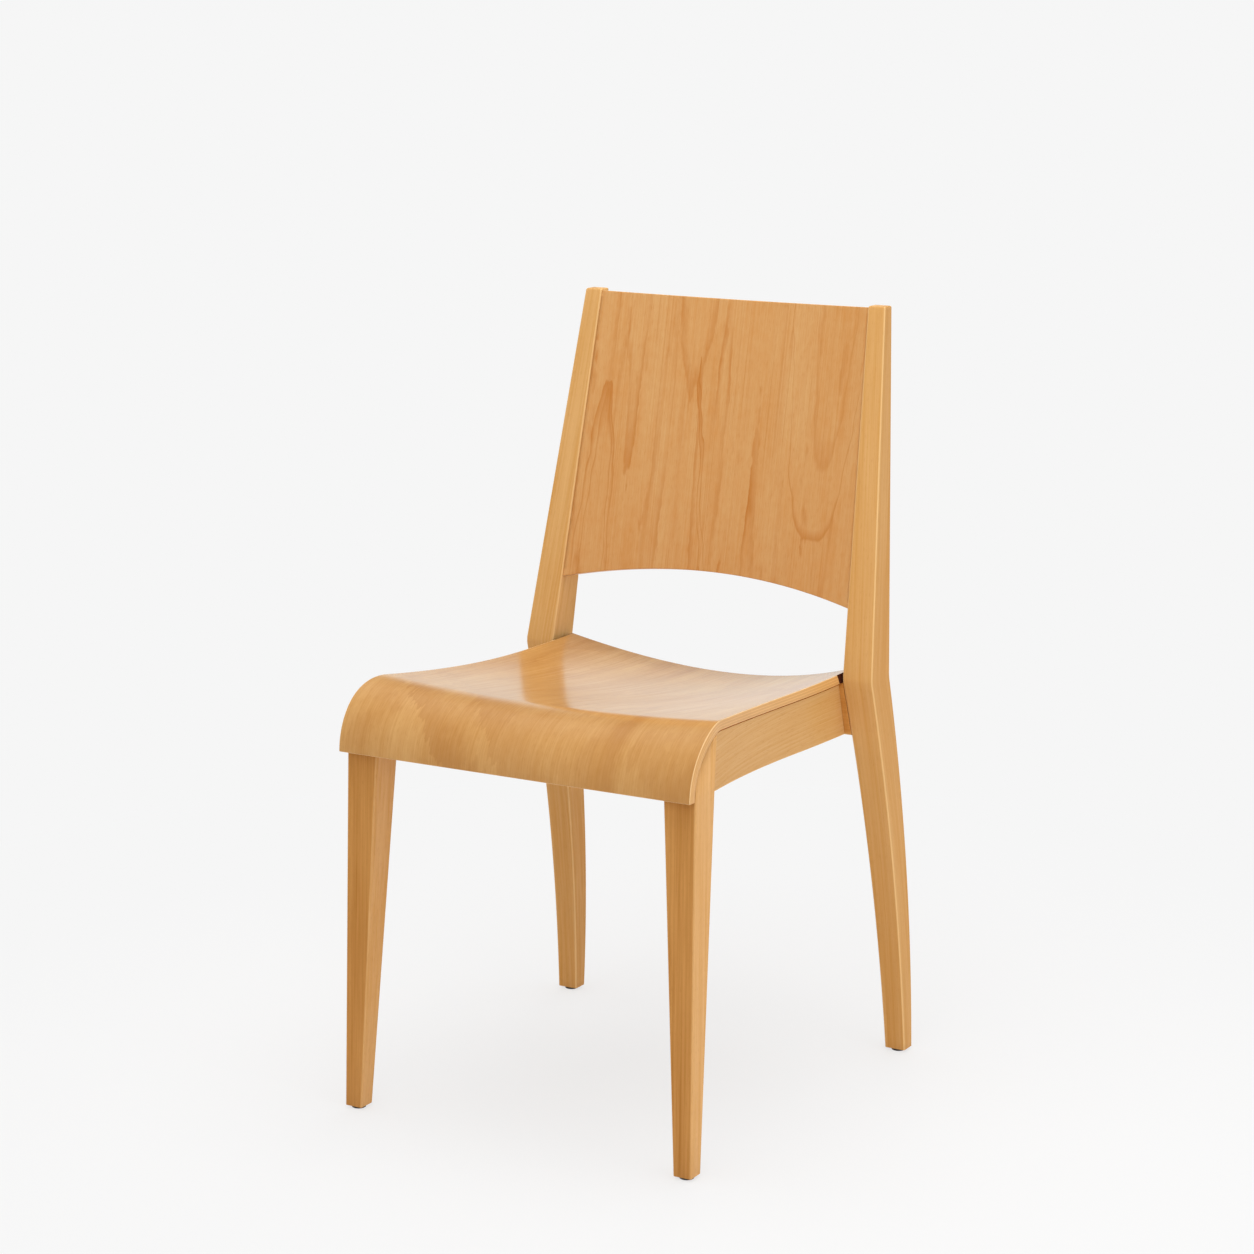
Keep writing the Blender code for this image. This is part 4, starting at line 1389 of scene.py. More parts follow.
    def map_grain(self, made: bpy.types.Object, maps: list[Triple], kinds: list[Zone]) -> None:
        """Writes the grain map: across and along on the faces, length and depth on the edges.

        Args:
            made: The shell.
            maps: Each point's place across, place along, and depth.
            kinds: The zone of each face.
        """
        mesh = made.data
        layer = mesh.uv_layers.new(name=GRAIN_MAP)
        mesh.polygons.foreach_set("material_index", [kind.value for kind in kinds])
        for polygon in mesh.polygons:
            edge = kinds[polygon.index] is not Zone.FACE
            for corner in polygon.loop_indices:
                across, along, depth = maps[mesh.loops[corner].vertex_index]
                layer.data[corner].uv = (across + along, depth) if edge else (across, along)


@dataclass
class FrontLegs:
    """The front legs, square and tapered, with their tops under the roll of the seat."""

    seat: SeatShell
    foot_outer: float = 0.2144
    foot_width: float = 0.0207
    foot_depth: float = 0.0211
    foot_setback: float = 0.0044
    top_outer: float = 0.2112
    top_width: float = 0.0368
    top_depth: float = 0.0407
    top_setback: float = 0.0138
    arris: float = 0.0018
    foot_bevel: float = 0.0006
    bottom: float = 0.0031
    steps: int = 8
    rounds: int = 5  # of the search for the seat's lower face

    def section(self, z: float) -> Section:
        """The right leg's cross-section.

        Args:
            z: The height.

        Returns:
            The cross-section at that height.
        """
        share = z / self.seat.skirt_z
        outer = mix(self.foot_outer, self.top_outer, share)
        front = self.seat.front + mix(self.foot_setback, self.top_setback, share)
        depth = mix(self.foot_depth, self.top_depth, share)
        return Section(outer - mix(self.foot_width, self.top_width, share), outer, front, front + depth)

    def top_point(self, index: int) -> tuple[float, float, float, float, float]:
        """A point of the leg's top, just under the seat.

        Args:
            index: Its index in the section's outline.

        Returns:
            x, y, z, and its arris and radial shares.
        """
        z = self.seat.skirt_z
        for _ in range(self.rounds):
            x, y, share, radial = self.section(z).outline(0.0, self.arris)[index]
            z = self.seat.under_z(x, y) - GAP
        return x, y, z, share, radial

    def build(self, shop: Workshop, wood: Material) -> None:
        """Makes both legs.

        Args:
            shop: The workshop.
            wood: Their material.
        """
        levels = foot_levels(self.bottom, self.foot_bevel)
        low = self.bottom + self.foot_bevel
        levels += [(mix(low, self.seat.skirt_z, i / self.steps), 0.0) for i in range(self.steps + 1)]
        walk = []
        for z, inset in levels:
            outline = self.section(z).outline(inset, self.arris)
            walk += [(x, y, z, share, radial) for x, y, share, radial in outline]
        size = len(outline)
        walk += [self.top_point(i) for i in range(size)]
        board = Board("front_leg", number=3)
        for *place, share, radial in walk:
            point = Vector(place)
            section = self.section(point.z)
            # Painted shade: the front and back faces get the darker colours, the sides keep the lighter ones
            board.add(point, point - Vector((section.outer, section.front, 0)), share, 1 - radial)
        shop.make_pair(board, leg_faces(len(levels) + 1, size), wood)


@dataclass
class Rails:
    """The rails of the seat frame: two along the seat's sides, and one across between the rear legs."""

    seat: SeatShell
    front_legs: FrontLegs
    rear_legs: RearLegs
    side_inset: float = 0.0005
    side_front_z: float = 0.399
    side_rear_z: float = 0.3815
    side_belly: float = 0.0033
    thickness: float = 0.020
    arris: float = 0.002
    groove_height: float = 0.0011  # the seam under the seat, coloured dark as painted shade
    groove_depth: float = 0.0003
    side_rings: int = 40
    rear_rings: int = 64
    rounds: int = 4  # of the search for the seat's lower face

    def rear_front(self, z: float) -> float:
        """The rear rail's front face, flush with the rear legs where they carry it.

        Args:
            z: The height.

        Returns:
            The face's place along y.
        """
        low = self.rear_legs.section(self.side_rear_z).front
        high = self.rear_legs.section(self.rear_legs.knee_z).front
        return mix(low, high, (z - self.side_rear_z) / (self.rear_legs.knee_z - self.side_rear_z))

    def outline(self) -> list[tuple[float, bool, float, float, float]]:
        """Walks round a rail's cross-section, from the foot of its outer face by the inner face to the top.

        Returns:
            Each point's depth from the outer face, whether it belongs to the upper edge, its distance from
            the upper or lower edge, and its arris share and share of painted shade.
        """
        walk = []
        for centre, start in ((self.arris, 1.0), (self.thickness - self.arris, 1.5)):
            for step in range(ARRIS_STEPS + 1):
                angle = math.pi * (start + 0.5 * step / ARRIS_STEPS)
                away = self.arris + self.arris * math.sin(angle)
                share = math.sin(math.pi * step / ARRIS_STEPS)
                walk.append((centre + self.arris * math.cos(angle), False, away, share, 0.0))
        # The top and the seam under the seat get the full painted shade, which fades down the inner face
        top = [(self.thickness, 0.0), (self.groove_depth, 0.0), (self.groove_depth, self.groove_height)]
        walk += [(depth, True, away, 0.0, 1.0) for depth, away in top]
        return [*walk, (0.0, True, self.groove_height, 0.0, 0.0)]

    def side_point(self, share: float, depth: float, upper: bool, away: float) -> Vector:
        """A point of the right side rail.

        Args:
            share: Place from the front leg to the rear rail, 0 to 1.
            depth: Distance from the outer face.
            upper: Whether it belongs to the upper edge.
            away: Distance from that edge.

        Returns:
            The point.
        """
        straight = mix(self.side_front_z, self.side_rear_z, share)
        z = straight - 4 * self.side_belly * share * (1 - share) + away
        for _ in range(self.rounds):
            y = mix(self.front_legs.section(z).back + GAP, self.rear_front(z) - GAP, share)
            x = self.seat.half_width(y) - self.side_inset - depth
            if not upper:
                break
            z = self.seat.under_z(x, y) - GAP - away
        return Vector((x, y, z))

    def rear_point(self, across: float, depth: float, upper: bool, away: float) -> Vector:
        """A point of the rear rail.

        Args:
            across: Place from the left leg to the right one, -1 to 1.
            depth: Distance from the front face.
            upper: Whether it belongs to the upper edge.
            away: Distance from that edge.

        Returns:
            The point.
        """
        z = self.side_rear_z + away
        for _ in range(self.rounds):
            x = (self.rear_legs.section(z).inner - GAP) * across
            y = self.rear_front(z) + depth
            if not upper:
                break
            z = self.seat.under_z(x, y) - GAP - away
        return Vector((x, y, z))

    def build(self, shop: Workshop, side_wood: Material, rear_wood: Material) -> None:
        """Makes the side rails and the rear rail.

        Args:
            shop: The workshop.
            side_wood: Material of the side rails.
            rear_wood: Material of the rear rail.
        """
        walk = self.outline()
        board = Board("side_rail", number=5)
        for ring in range(self.side_rings + 1):
            for *place, share, stain in walk:
                point = self.side_point(ring / self.side_rings, *place)
                straightened = Vector((point.x - self.seat.half_width(point.y), point.y, point.z))
                board.add(point, straightened, share, stain)
        shop.make_pair(board, self.faces(self.side_rings + 1, len(walk)), side_wood, crisp=True)

        points = []
        for ring in range(self.rear_rings + 1):
            across = mix(-1, 1, ring / self.rear_rings)
            points += [self.rear_point(across, *place) for *place, _, _ in walk]
        made = shop.make("rear_rail_wood", points, self.faces(self.rear_rings + 1, len(walk)))
        note_points(made, ARRIS_SHARE, [share for *_, share, _ in walk] * (self.rear_rings + 1))
        made.data.set_sharp_from_angle(angle=CRISP_ANGLE)
        shop.mount(made, ["rear_rail"], [rear_wood])

    def faces(self, rings: int, size: int) -> Faces:
        """Faces of a rail through its rings of points.

        Args:
            rings: How many rings there are.
            size: How many points each ring has.

        Returns:
            The faces, with both ends closed.
        """
        near = list(range(size - 1, -1, -1))
        far = list(range((rings - 1) * size, rings * size))
        return [near, *ring_faces(rings, size), far]


@dataclass
class BackPanel:
    """The back: a hollow sheet of moulded plywood between the uprights, with an arched lower edge."""

    legs: RearLegs
    thickness: float = 0.010
    recess: float = 0.0018
    sag: float = 0.014
    top_drop: float = 0.0016
    top_dip: float = 0.0024
    low_z: float = 0.5242
    arch: float = 0.0200
    rim: float = 0.0010
    rim_segments: int = 4
    fit: float = 0.02 * MM  # clearance between its ends and the uprights
    rear_shift: Pair = (0.070, 0.055)  # moves the figure of the rear face, across and up
    columns: int = 81
    rows: int = 61
    box_edge: float = 0.49  # just inside the half size of the box of points
    edge_facing: float = 0.5  # a face that turns less than this to the front or back is an edge

    def sizes(self, shop: Workshop) -> dict[str, float]:
        """The named inputs of the panel's tree.

        Args:
            shop: The workshop.

        Returns:
            Their values, in the frame's metres.
        """
        high_z = self.legs.chair_height - self.top_drop
        low, high = self.legs.section(self.low_z), self.legs.section(high_z)
        knee, top = self.legs.section(self.legs.knee_z), self.legs.section(self.legs.chair_height)
        rise, lean = self.legs.chair_height - self.legs.knee_z, top.front - knee.front
        slant = math.hypot(rise, lean)
        return {
            "Low": self.low_z,
            "High": high_z,
            "Half Width Low": low.inner - self.fit,
            "Half Width High": high.inner - self.fit,
            "Front Low": low.front + self.recess + shop.shift,
            "Front High": high.front + self.recess + shop.shift,
            "Arch": self.arch,
            "Dip": self.top_dip,
            "Sag": self.sag,
            "Back Step": self.thickness * rise / slant,
            "Back Drop": self.thickness * lean / slant,
            "Thickness": self.thickness,
        }

    def tree(self, sizes: Iterable[str], face: Material, edge: Material) -> Tree:
        """The rule of the panel's shape: a box of points, each moved to its place between the uprights.

        Args:
            sizes: Names of the tree's inputs.
            face: Material of the front and the back.
            edge: Material of the four edges.

        Returns:
            The tree.
        """
        tree, node, size = start_rule("bent_panel", sizes, on_points=False)
        counts = {"Vertices X": self.columns, "Vertices Y": 2, "Vertices Z": self.rows}
        box = node("GeometryNodeMeshCube", counts)
        place = node("ShaderNodeSeparateXYZ", {0: node("GeometryNodeInputPosition")})
        across = node("ShaderNodeMath", {0: place.outputs[0], 1: 2.0}, operation="MULTIPLY")
        behind = node("ShaderNodeMath", {0: place.outputs[1], 1: 0.5}, operation="ADD")
        height = node("ShaderNodeMath", {0: place.outputs[2], 1: 0.5}, operation="ADD")
        square = node("ShaderNodeMath", {0: across, 1: across}, operation="MULTIPLY")
        hollow = node("ShaderNodeMath", {0: 1.0, 1: square}, operation="SUBTRACT")
        lower = node("ShaderNodeMath", {0: hollow, 1: size["Arch"], 2: size["Low"]}, operation="MULTIPLY_ADD")
        dip = node("ShaderNodeMath", {0: hollow, 1: size["Dip"]}, operation="MULTIPLY")
        upper = node("ShaderNodeMath", {0: size["High"], 1: dip}, operation="SUBTRACT")
        z = node("ShaderNodeMix", {0: height, 2: lower, 3: upper})
        share = node("ShaderNodeMapRange", {0: z, 1: size["Low"], 2: size["High"]}, clamp=False)
        half = {0: share, 2: size["Half Width Low"], 3: size["Half Width High"]}
        half = node("ShaderNodeMix", half, clamp_factor=False)
        front = {0: share, 2: size["Front Low"], 3: size["Front High"]}
        front = node("ShaderNodeMix", front, clamp_factor=False)
        x = node("ShaderNodeMath", {0: half, 1: across}, operation="MULTIPLY")
        y = node("ShaderNodeMath", {0: hollow, 1: size["Sag"], 2: front}, operation="MULTIPLY_ADD")
        y = node("ShaderNodeMath", {0: behind, 1: size["Back Step"], 2: y}, operation="MULTIPLY_ADD")
        drop = node("ShaderNodeMath", {0: behind, 1: size["Back Drop"]}, operation="MULTIPLY")
        low_back = node("ShaderNodeMath", {0: z, 1: drop}, operation="SUBTRACT")
        spot = node("ShaderNodeCombineXYZ", {0: x, 1: y, 2: low_back})

        # The grain map: across and up on the faces, length and depth on the edges
        facing = node("ShaderNodeSeparateXYZ", {0: node("GeometryNodeInputNormal")})
        flat = node("ShaderNodeMath", {0: facing.outputs[1]}, operation="ABSOLUTE")
        rim = node("FunctionNodeCompare", {0: flat, 1: self.edge_facing}, operation="LESS_THAN")
        rim = node("GeometryNodeFieldOnDomain", {0: rim}, data_type="BOOLEAN", domain="FACE")
        deep = node("ShaderNodeMath", {0: behind, 1: size["Thickness"]}, operation="MULTIPLY")
        length = node("ShaderNodeMath", {0: x, 1: z}, operation="ADD")
        flip = node("ShaderNodeMath", {0: behind, 1: -2.0, 2: 1.0}, operation="MULTIPLY_ADD")
        over = node("ShaderNodeMath", {0: behind, 1: self.rear_shift[0]}, operation="MULTIPLY")
        over = node("ShaderNodeMath", {0: x, 1: flip, 2: over}, operation="MULTIPLY_ADD")
        up = node("ShaderNodeMath", {0: behind, 1: self.rear_shift[1], 2: z}, operation="MULTIPLY_ADD")
        on_face = node("ShaderNodeCombineXYZ", {0: over, 1: up})
        on_edge = node("ShaderNodeCombineXYZ", {0: length, 1: deep})
        chosen = node("GeometryNodeSwitch", {0: rim, 1: on_face, 2: on_edge}, input_type="VECTOR")
        inputs = {"Geometry": box, "Name": GRAIN_MAP, "Value": chosen}
        mapped = node("GeometryNodeStoreNamedAttribute", inputs, data_type="FLOAT2", domain="CORNER")

        # Only the long edges above and below are rounded: the ends butt against the uprights
        outer = [node("ShaderNodeMath", {0: place.outputs[i]}, operation="ABSOLUTE") for i in (1, 2)]
        outer = node("ShaderNodeMath", {0: outer[0], 1: outer[1]}, operation="MINIMUM")
        outer = node("ShaderNodeMath", {0: outer, 1: self.box_edge}, operation="GREATER_THAN")
        inputs = {"Geometry": mapped, "Name": "bevel_weight_edge", "Value": outer}
        mapped = node("GeometryNodeStoreNamedAttribute", inputs, data_type="FLOAT", domain="EDGE")
        kept = node("GeometryNodeCaptureAttribute", {"Geometry": mapped}, domain="FACE")
        kept.capture_items.new("BOOLEAN", "Rim")
        feed(tree, kept, {"Rim": rim})
        bent = node("GeometryNodeSetPosition", {"Geometry": kept.outputs["Geometry"], "Position": spot})
        real = node("GeometryNodeRealizeInstances", {"Geometry": bent})
        smooth = node("GeometryNodeSetShadeSmooth", {"Geometry": real})
        dressed = node("GeometryNodeSetMaterial", {"Geometry": smooth, "Material": face})
        dressed = {"Geometry": dressed, "Selection": kept.outputs["Rim"], "Material": edge}
        node("NodeGroupOutput", {"Geometry": node("GeometryNodeSetMaterial", dressed)})
        return tree

    def build(self, shop: Workshop, face: Material, edge: Material) -> None:
        """Makes the panel, and rounds its rim.

        Args:
            shop: The workshop.
            face: Material of the front and the back.
            edge: Material of the four edges.
        """
        sizes = self.sizes(shop)
        made = shop.make("back_panel_plywood", [], [])
        shop.follow(made, self.tree(sizes, face, edge), sizes)
        bevel = made.modifiers.new("rim", "BEVEL")
        bevel.width = self.rim
        bevel.segments = self.rim_segments
        bevel.limit_method = "WEIGHT"
        bevel.harden_normals = True
        shop.settle(made)
        shop.mount(made, ["back_panel"], [])


@dataclass
class Fixings:
    """What repeats: the wood screws under the seat, and the glides under the feet."""

    head_radius: float = 0.004
    head_height: float = 0.0026
    head_top: float = 0.62  # radius of the head's top, as a share
    shank_radius: float = 0.002
    tip: float = 0.004
    tip_end: float = 0.08  # radius at the tip's end, as a share
    pitch: float = 0.0018
    thread: float = 0.0003
    thread_rows: int = 96
    recess_width: float = 0.0011
    recess_length: float = 0.0046
    recess_depth: float = 0.0016
    glide_radius: float = 0.0078
    glide_thickness: float = 0.0028
    glide_edge: float = 0.0008
    glide_rows: int = 16
    glide_rings: int = 6
    glide_crisp: float = math.radians(40)
    pin_radius: float = 0.0015
    pin_length: float = 0.014
    segments: int = 32
    end_share: float = 0.4  # of the tip, within which a CAD screw's points show how wide its end is

    def axis(self, node: bpy.types.Object) -> tuple[Vector, Vector, float]:
        """Finds where a CAD screw's head seats, which way it points and how long it is.

        Args:
            node: The screw's CAD node.

        Returns:
            The centre of the head's top, the direction to the tip, and the whole length.
        """
        points = [vertex.co for vertex in node.data.vertices]
        lows, highs = ([pick(p[i] for p in points) for i in range(3)] for pick in (min, max))
        main = max(range(3), key=lambda i: highs[i] - lows[i])
        middle = Vector([(high + low) / 2 for low, high in zip(lows, highs)])
        widths = []
        for end in (lows[main], highs[main]):
            near = [p - middle for p in points if abs(p[main] - end) < self.end_share * self.tip]
            for offset in near:
                offset[main] = 0.0
            widths.append(max(offset.length for offset in near))
        head_low = widths[0] > widths[1]
        start = middle.copy()
        start[main] = lows[main] if head_low else highs[main]
        way = Vector((0, 0, 0))
        way[main] = 1.0 if head_low else -1.0
        return start, way, highs[main] - lows[main]

    def screw_tree(self, sizes: Iterable[str], steel: Material) -> Tree:
        """Turns each point into a wood screw along its way.

        Args:
            sizes: Names of the tree's inputs.
            steel: The screws' material.

        Returns:
            The tree.
        """
        tree, node, size = start_rule("wood_screws", sizes, on_points=True)
        bar = {"Vertices": self.segments, "Side Segments": self.thread_rows, "Radius": 1.0}
        bar = node("GeometryNodeMeshCylinder", bar | {"Depth": size["Length"]})
        place = node("ShaderNodeSeparateXYZ", {0: node("GeometryNodeInputPosition")})
        half = node("ShaderNodeMath", {0: size["Length"], 1: 0.5}, operation="MULTIPLY")
        deep = node("ShaderNodeMath", {0: place.outputs[2], 1: half}, operation="ADD")
        turn = node("ShaderNodeMath", {0: place.outputs[1], 1: place.outputs[0]}, operation="ARCTAN2")
        turn = node("ShaderNodeMath", {0: turn, 1: 1 / math.tau}, operation="MULTIPLY")
        climb = node("ShaderNodeMath", {0: deep, 1: size["Pitch"]}, operation="DIVIDE")
        climb = node("ShaderNodeMath", {0: climb, 1: turn}, operation="SUBTRACT")
        ridge = node("ShaderNodeMath", {0: climb, 1: 1.0}, operation="PINGPONG")
        ridge = node("ShaderNodeMapRange", {0: ridge, 1: 0.0, 2: 1.0, 3: 0.0, 4: size["Thread"]})
        core = node("ShaderNodeMath", {0: size["Shank Radius"], 1: size["Thread"]}, operation="SUBTRACT")
        shank = node("ShaderNodeMath", {0: core, 1: ridge}, operation="ADD")
        left = node("ShaderNodeMath", {0: size["Length"], 1: deep}, operation="SUBTRACT")
        point = node("ShaderNodeMapRange", {0: left, 1: 0.0, 2: size["Tip"], 3: self.tip_end, 4: 1.0})
        shank = node("ShaderNodeMath", {0: shank, 1: point}, operation="MULTIPLY")
        dome = {0: deep, 1: 0.0, 2: size["Head Height"], 3: self.head_top, 4: 1.0}
        dome = node("ShaderNodeMapRange", dome, interpolation_type="SMOOTHERSTEP")
        head = node("ShaderNodeMath", {0: size["Head Radius"], 1: dome}, operation="MULTIPLY")
        in_head = node("FunctionNodeCompare", {0: deep, 1: size["Head Height"]}, operation="LESS_EQUAL")
        radius = node("GeometryNodeSwitch", {0: in_head, 1: shank, 2: head}, input_type="FLOAT")
        x = node("ShaderNodeMath", {0: place.outputs[0], 1: radius}, operation="MULTIPLY")
        y = node("ShaderNodeMath", {0: place.outputs[1], 1: radius}, operation="MULTIPLY")
        spot = node("ShaderNodeCombineXYZ", {0: x, 1: y, 2: deep})
        turned = node("GeometryNodeSetPosition", {"Geometry": bar, "Position": spot})

        # A cross recess, cut by two bars that lie half outside the head
        twice = node("ShaderNodeMath", {0: size["Recess Depth"], 1: 2.0}, operation="MULTIPLY")
        cut = node("GeometryNodeMeshBoolean", {0: turned}, operation="DIFFERENCE", solver="EXACT")
        for sides in (("Recess Length", "Recess Width"), ("Recess Width", "Recess Length")):
            shape = node("ShaderNodeCombineXYZ", {0: size[sides[0]], 1: size[sides[1]], 2: twice})
            feed(tree, cut, {1: node("GeometryNodeMeshCube", {"Size": shape})})
        way = node("GeometryNodeInputNamedAttribute", {"Name": SCREW_WAY}, data_type="FLOAT_VECTOR")
        aim = node("FunctionNodeAlignRotationToVector", {"Vector": way}, axis="Z")
        set_out = {"Points": size["Geometry"], "Instance": cut, "Rotation": aim}
        placed = node("GeometryNodeInstanceOnPoints", set_out)
        real = node("GeometryNodeRealizeInstances", {"Geometry": placed})
        dressed = node("GeometryNodeSetMaterial", {"Geometry": real, "Material": steel})
        node("NodeGroupOutput", {"Geometry": dressed})
        return tree

    def build_screws(self, shop: Workshop, steel: Material) -> None:
        """Makes the screws: those into the rails, and the shorter ones into the seat.

        Args:
            shop: The workshop.
            steel: Their material.
        """
        sizes = {
            "Head Radius": self.head_radius,
            "Head Height": self.head_height,
            "Shank Radius": self.shank_radius,
            "Tip": self.tip,
            "Pitch": self.pitch,
            "Thread": self.thread,
            "Length": 0.0,
            "Recess Width": self.recess_width,
            "Recess Length": self.recess_length,
            "Recess Depth": self.recess_depth,
        }
        tree = self.screw_tree(sizes, steel)
        kinds = {
            "block_screw": [f"block_screw_{corner}_{way}" for corner in CORNERS for way in ("side", "cross")],
            "seat_screw": [f"seat_screw_{corner}" for corner in CORNERS],
        }
        for kind, names in kinds.items():
            axes = [self.axis(shop.frame["nodes"][name]) for name in names]
            starts = [start - Vector((0, shop.shift, 0)) for start, _, _ in axes]
            made = shop.make(f"{kind}s_steel", starts, [])
            note_ways(made, SCREW_WAY, [way for _, way, _ in axes])
            self.run(shop, made, tree, sizes | {"Length": axes[0][2]})
            made.data.set_sharp_from_angle(angle=CRISP_ANGLE)
            shop.mount(made, names, [])

    def glide_tree(self, sizes: Iterable[str], plastic: Material, steel: Material) -> Tree:
        """Turns each point on the floor into a glide with its nail.

        Args:
            sizes: Names of the tree's inputs.
            plastic: Material of the disc.
            steel: Material of the nail.

        Returns:
            The tree.
        """
        tree, node, size = start_rule("foot_glides", sizes, on_points=True)
        disc = {"Vertices": 2 * self.segments, "Side Segments": self.glide_rows, "Radius": 1.0}
        disc |= {"Fill Segments": self.glide_rings, "Depth": size["Thickness"]}
        disc = node("GeometryNodeMeshCylinder", disc)
        place = node("ShaderNodeSeparateXYZ", {0: node("GeometryNodeInputPosition")})
        half = node("ShaderNodeMath", {0: size["Thickness"], 1: 0.5}, operation="MULTIPLY")
        height = node("ShaderNodeMath", {0: place.outputs[2], 1: half}, operation="ADD")
        round_off = node("ShaderNodeMapRange", {0: height, 1: 0.0, 2: size["Edge"], 3: 1.0, 4: 0.0})
        round_off = node("ShaderNodeMath", {0: round_off, 1: 2.0}, operation="POWER")
        round_off = node("ShaderNodeMath", {0: round_off, 1: size["Edge"]}, operation="MULTIPLY")
        radius = node("ShaderNodeMath", {0: size["Radius"], 1: round_off}, operation="SUBTRACT")
        x = node("ShaderNodeMath", {0: place.outputs[0], 1: radius}, operation="MULTIPLY")
        y = node("ShaderNodeMath", {0: place.outputs[1], 1: radius}, operation="MULTIPLY")
        spot = node("ShaderNodeCombineXYZ", {0: x, 1: y, 2: height})
        disc = node("GeometryNodeSetPosition", {"Geometry": disc, "Position": spot})
        pin = {"Vertices": self.segments, "Radius": size["Pin Radius"], "Depth": size["Pin Length"]}
        pin = node("GeometryNodeMeshCylinder", pin)
        rise = {0: size["Pin Length"], 1: 0.5, 2: size["Thickness"]}
        rise = node("ShaderNodeMath", rise, operation="MULTIPLY_ADD")
        rise = node("ShaderNodeCombineXYZ", {2: rise})
        pin = node("GeometryNodeTransform", {"Geometry": pin, "Translation": rise})
        both = node("GeometryNodeJoinGeometry")
        for shape, material in ((disc, plastic), (pin, steel)):
            placed = node("GeometryNodeInstanceOnPoints", {"Points": size["Geometry"], "Instance": shape})
            real = node("GeometryNodeRealizeInstances", {"Geometry": placed})
            dressed = node("GeometryNodeSetMaterial", {"Geometry": real, "Material": material})
            feed(tree, both, {0: dressed})
        node("NodeGroupOutput", {"Geometry": both})
        return tree

    def build_glides(self, shop: Workshop, plastic: Material, steel: Material) -> None:
        """Makes the glides, where the CAD has them.

        Args:
            shop: The workshop.
            plastic: Material of their discs.
            steel: Material of their nails.
        """
        names = [f"glide_{corner}" for corner in CORNERS]
        spots = []
        for name in names:
            low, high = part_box(name)
            spots.append(Vector(((low[0] + high[0]) / 2, (low[1] + high[1]) / 2 - shop.shift, 0.0)))
        made = shop.make("glides_plastic", spots, [])
        sizes = {
            "Radius": self.glide_radius,
            "Thickness": self.glide_thickness,
            "Edge": self.glide_edge,
            "Pin Radius": self.pin_radius,
            "Pin Length": self.pin_length,
        }
        self.run(shop, made, self.glide_tree(sizes, plastic, steel), sizes)
        made.data.set_sharp_from_angle(angle=self.glide_crisp)
        shop.mount(made, names, [])

    def run(self, shop: Workshop, made: bpy.types.Object, tree: Tree, sizes: dict[str, float]) -> None:
        """Runs a tree on an object's points, and keeps the result as its mesh.

        Args:
            shop: The workshop.
            made: The object.
            tree: The tree.
            sizes: Values of the tree's inputs, by their names.
        """
        shop.follow(made, tree, sizes)
        shop.settle(made)
        made.data.shade_smooth()


@dataclass
class HiddenFrame:
    """What the CAD shows well enough: the front rail, the corner blocks and the dowels."""

    rail_dowels: int = 2  # in each joint
    panel_dowels: int = 3

    def dowels(self) -> list[str]:
        """The dowels' CAD nodes.

        Returns:
            Their names.
        """
        joints = dict.fromkeys(("side_front", "side_rear", "front_rail", "rear_rail"), self.rail_dowels)
        joints["back_panel"] = self.panel_dowels
        names = []
        for joint, count in joints.items():
            names += [f"dowel_{joint}_{side.word}_{i + 1}" for side in Side for i in range(count)]
        return names

    def dress(self, shop: Workshop, rail_wood: Material, bare_wood: Material) -> None:
        """Gives these nodes their materials.

        Args:
            shop: The workshop.
            rail_wood: Material of the front rail.
            bare_wood: Material of the blocks and dowels.
        """
        shop.dress(["front_rail"], rail_wood)
        shop.dress([f"corner_block_{corner}" for corner in CORNERS], bare_wood)
        shop.dress(self.dowels(), bare_wood)


# Studio


@dataclass(frozen=True)
class Softbox:
    """A square lamp that lights the chair, but shows neither itself nor its reflection."""

    name: str
    place: Triple
    size: float
    power: float

    def hang(self, target: Vector) -> None:
        """Hangs the lamp.

        Args:
            target: What it faces.
        """
        lamp = bpy.data.lights.new(self.name, "AREA")
        lamp.shape = "SQUARE"
        lamp.size = self.size
        lamp.energy = self.power
        hung = bpy.data.objects.new(self.name, lamp)
        hung.location = self.place
        aim = target - Vector(self.place)
        hung.rotation_euler = aim.to_track_quat("-Z", "Y").to_euler()
        hung.visible_camera = False
        hung.visible_glossy = False
        bpy.context.scene.collection.objects.link(hung)


